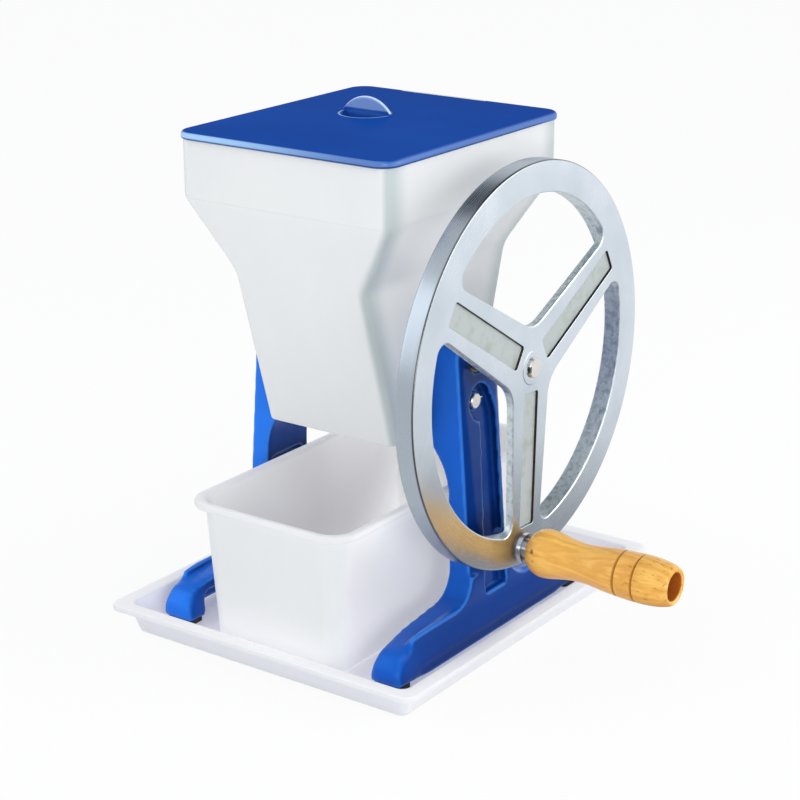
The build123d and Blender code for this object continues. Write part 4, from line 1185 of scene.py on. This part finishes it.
class CRUSHER_OT_stage(bpy.types.Operator):
    """Lays the pale floor, hangs the soft lamps and places the camera"""

    bl_idname = "crusher.stage"
    bl_label = "Stage"

    def execute(self, context):
        self.floor()
        self.world()
        for values in LAMPS:
            self.lamp(*values)
        self.camera()
        return {"FINISHED"}

    def floor(self):
        f = Finish("studio floor", Roughness=0.9, Specular_IOR_Level=0.0)
        glossy = f.ray("Glossy")
        x, y = f.split(f.place)[:2]
        near = (x - y).rising(1.0, 1.6)
        # painted reflection: glossy rays see a dark patch of floor beyond the wheel, which darkens the wheel's face
        dark_reflection = glossy * x.rising(0.13, 0.2) * (1.0 - (x + y).rising(0.34, 1.0))
        f.wear(Base_Color=f.mix((0.92, 0.92, 0.93), (0.30, 0.30, 0.31), dark_reflection))
        bare = (f.ray("Camera") * 0.86).most(glossy * (1.0 - near * 0.8)) * (1.0 - dark_reflection)
        f.feed(f.surface, f.blend(f.body, f.make("ShaderNodeEmission"), bare))
        mesh = bmesh.new()
        bmesh.ops.create_grid(mesh, x_segments=8, y_segments=8, size=6.0)
        made = meshed("floor", mesh)
        made.location.z = -0.0004
        made.data.materials.append(f.material)

    def world(self):
        sky = Sky("studio")
        bpy.context.scene.world = sky.world
        glossy = sky.ray("Glossy")
        seen = sky.ray("Camera").most(glossy).most(sky.ray("Transmission"))
        x, y, z = sky.split(sky.place)
        behind = (x * 0.58 - y * 0.81).rising(0.78, 0.92)
        ceiling = (z.rising(0.56, 0.72) * y.rising(0.04, 0.2)).most(behind) * glossy
        white = sky.light((1.0, 1.0, 1.0), 1.0)
        shaded = sky.blend(white, sky.light((0.5, 0.6, 0.75), 0.12), ceiling)
        sky.feed(sky.surface, sky.blend(sky.light((0.965, 0.98, 1.0), 0.84), shaded, seen))

    def lamp(self, name, place, target, width, height, power):
        data = bpy.data.lights.new(name, "AREA")
        data.shape = "RECTANGLE"
        data.size = width
        data.size_y = height
        data.energy = power
        lamp = hang(name, data)
        lamp.location = place
        lamp.rotation_euler = (Vector(target) - Vector(place)).to_track_quat("-Z", "Y").to_euler()

    def camera(self):
        data = bpy.data.cameras.new("camera")
        data.sensor_width = 36.0
        data.lens = CAMERA_LENS
        data.clip_end = 50.0
        camera = hang("camera", data)
        turn, tilt, roll = radians(CAMERA_TURN), radians(CAMERA_TILT), radians(CAMERA_ROLL)
        aim = Matrix.Rotation(turn, 4, "Z") @ Matrix.Rotation(pi / 2 - tilt, 4, "X") @ Matrix.Rotation(roll, 4, "Z")
        camera.matrix_world = Matrix.Translation(CAMERA_PLACE) @ aim
        bpy.context.scene.camera = camera
        bpy.context.scene.view_settings.view_transform = "Standard"


class CRUSHER_PT_panel(bpy.types.Panel):
    """Lists the steps and the sizes and colours that they use"""

    bl_idname = "CRUSHER_PT_panel"
    bl_label = "Ice crusher"
    bl_space_type = "VIEW_3D"
    bl_region_type = "UI"
    bl_category = "Ice crusher"

    def draw(self, context):
        for group in settings():
            column = self.layout.column()
            for name in group.bl_rna.properties.keys():
                if name not in ("rna_type", "name"):
                    column.prop(group, name)
        for step in STEPS:
            self.layout.operator(step.bl_idname)


GROUPS = {"crusher_colours": CrusherColours, "crusher_shells": CrusherShells, "crusher_wheel": CrusherWheel}
STEPS = (
    CRUSHER_OT_stage,
    CRUSHER_OT_hopper,
    CRUSHER_OT_lid,
    CRUSHER_OT_bin,
    CRUSHER_OT_tray,
    CRUSHER_OT_legs,
    CRUSHER_OT_flywheel,
    CRUSHER_OT_grip,
    CRUSHER_OT_metalwork,
)


def register():
    for kind in (*GROUPS.values(), *STEPS, CRUSHER_PT_panel):
        bpy.utils.register_class(kind)
    for name, kind in GROUPS.items():
        setattr(bpy.types.Scene, name, bpy.props.PointerProperty(type=kind))


def unregister():
    for name in GROUPS:
        delattr(bpy.types.Scene, name)
    for kind in (CRUSHER_PT_panel, *reversed(STEPS), *reversed(tuple(GROUPS.values()))):
        bpy.utils.unregister_class(kind)


def main():
    register()
    for step in STEPS:
        group, name = step.bl_idname.split(".")
        getattr(getattr(bpy.ops, group), name)()


if __name__ == "__main__":
    main()
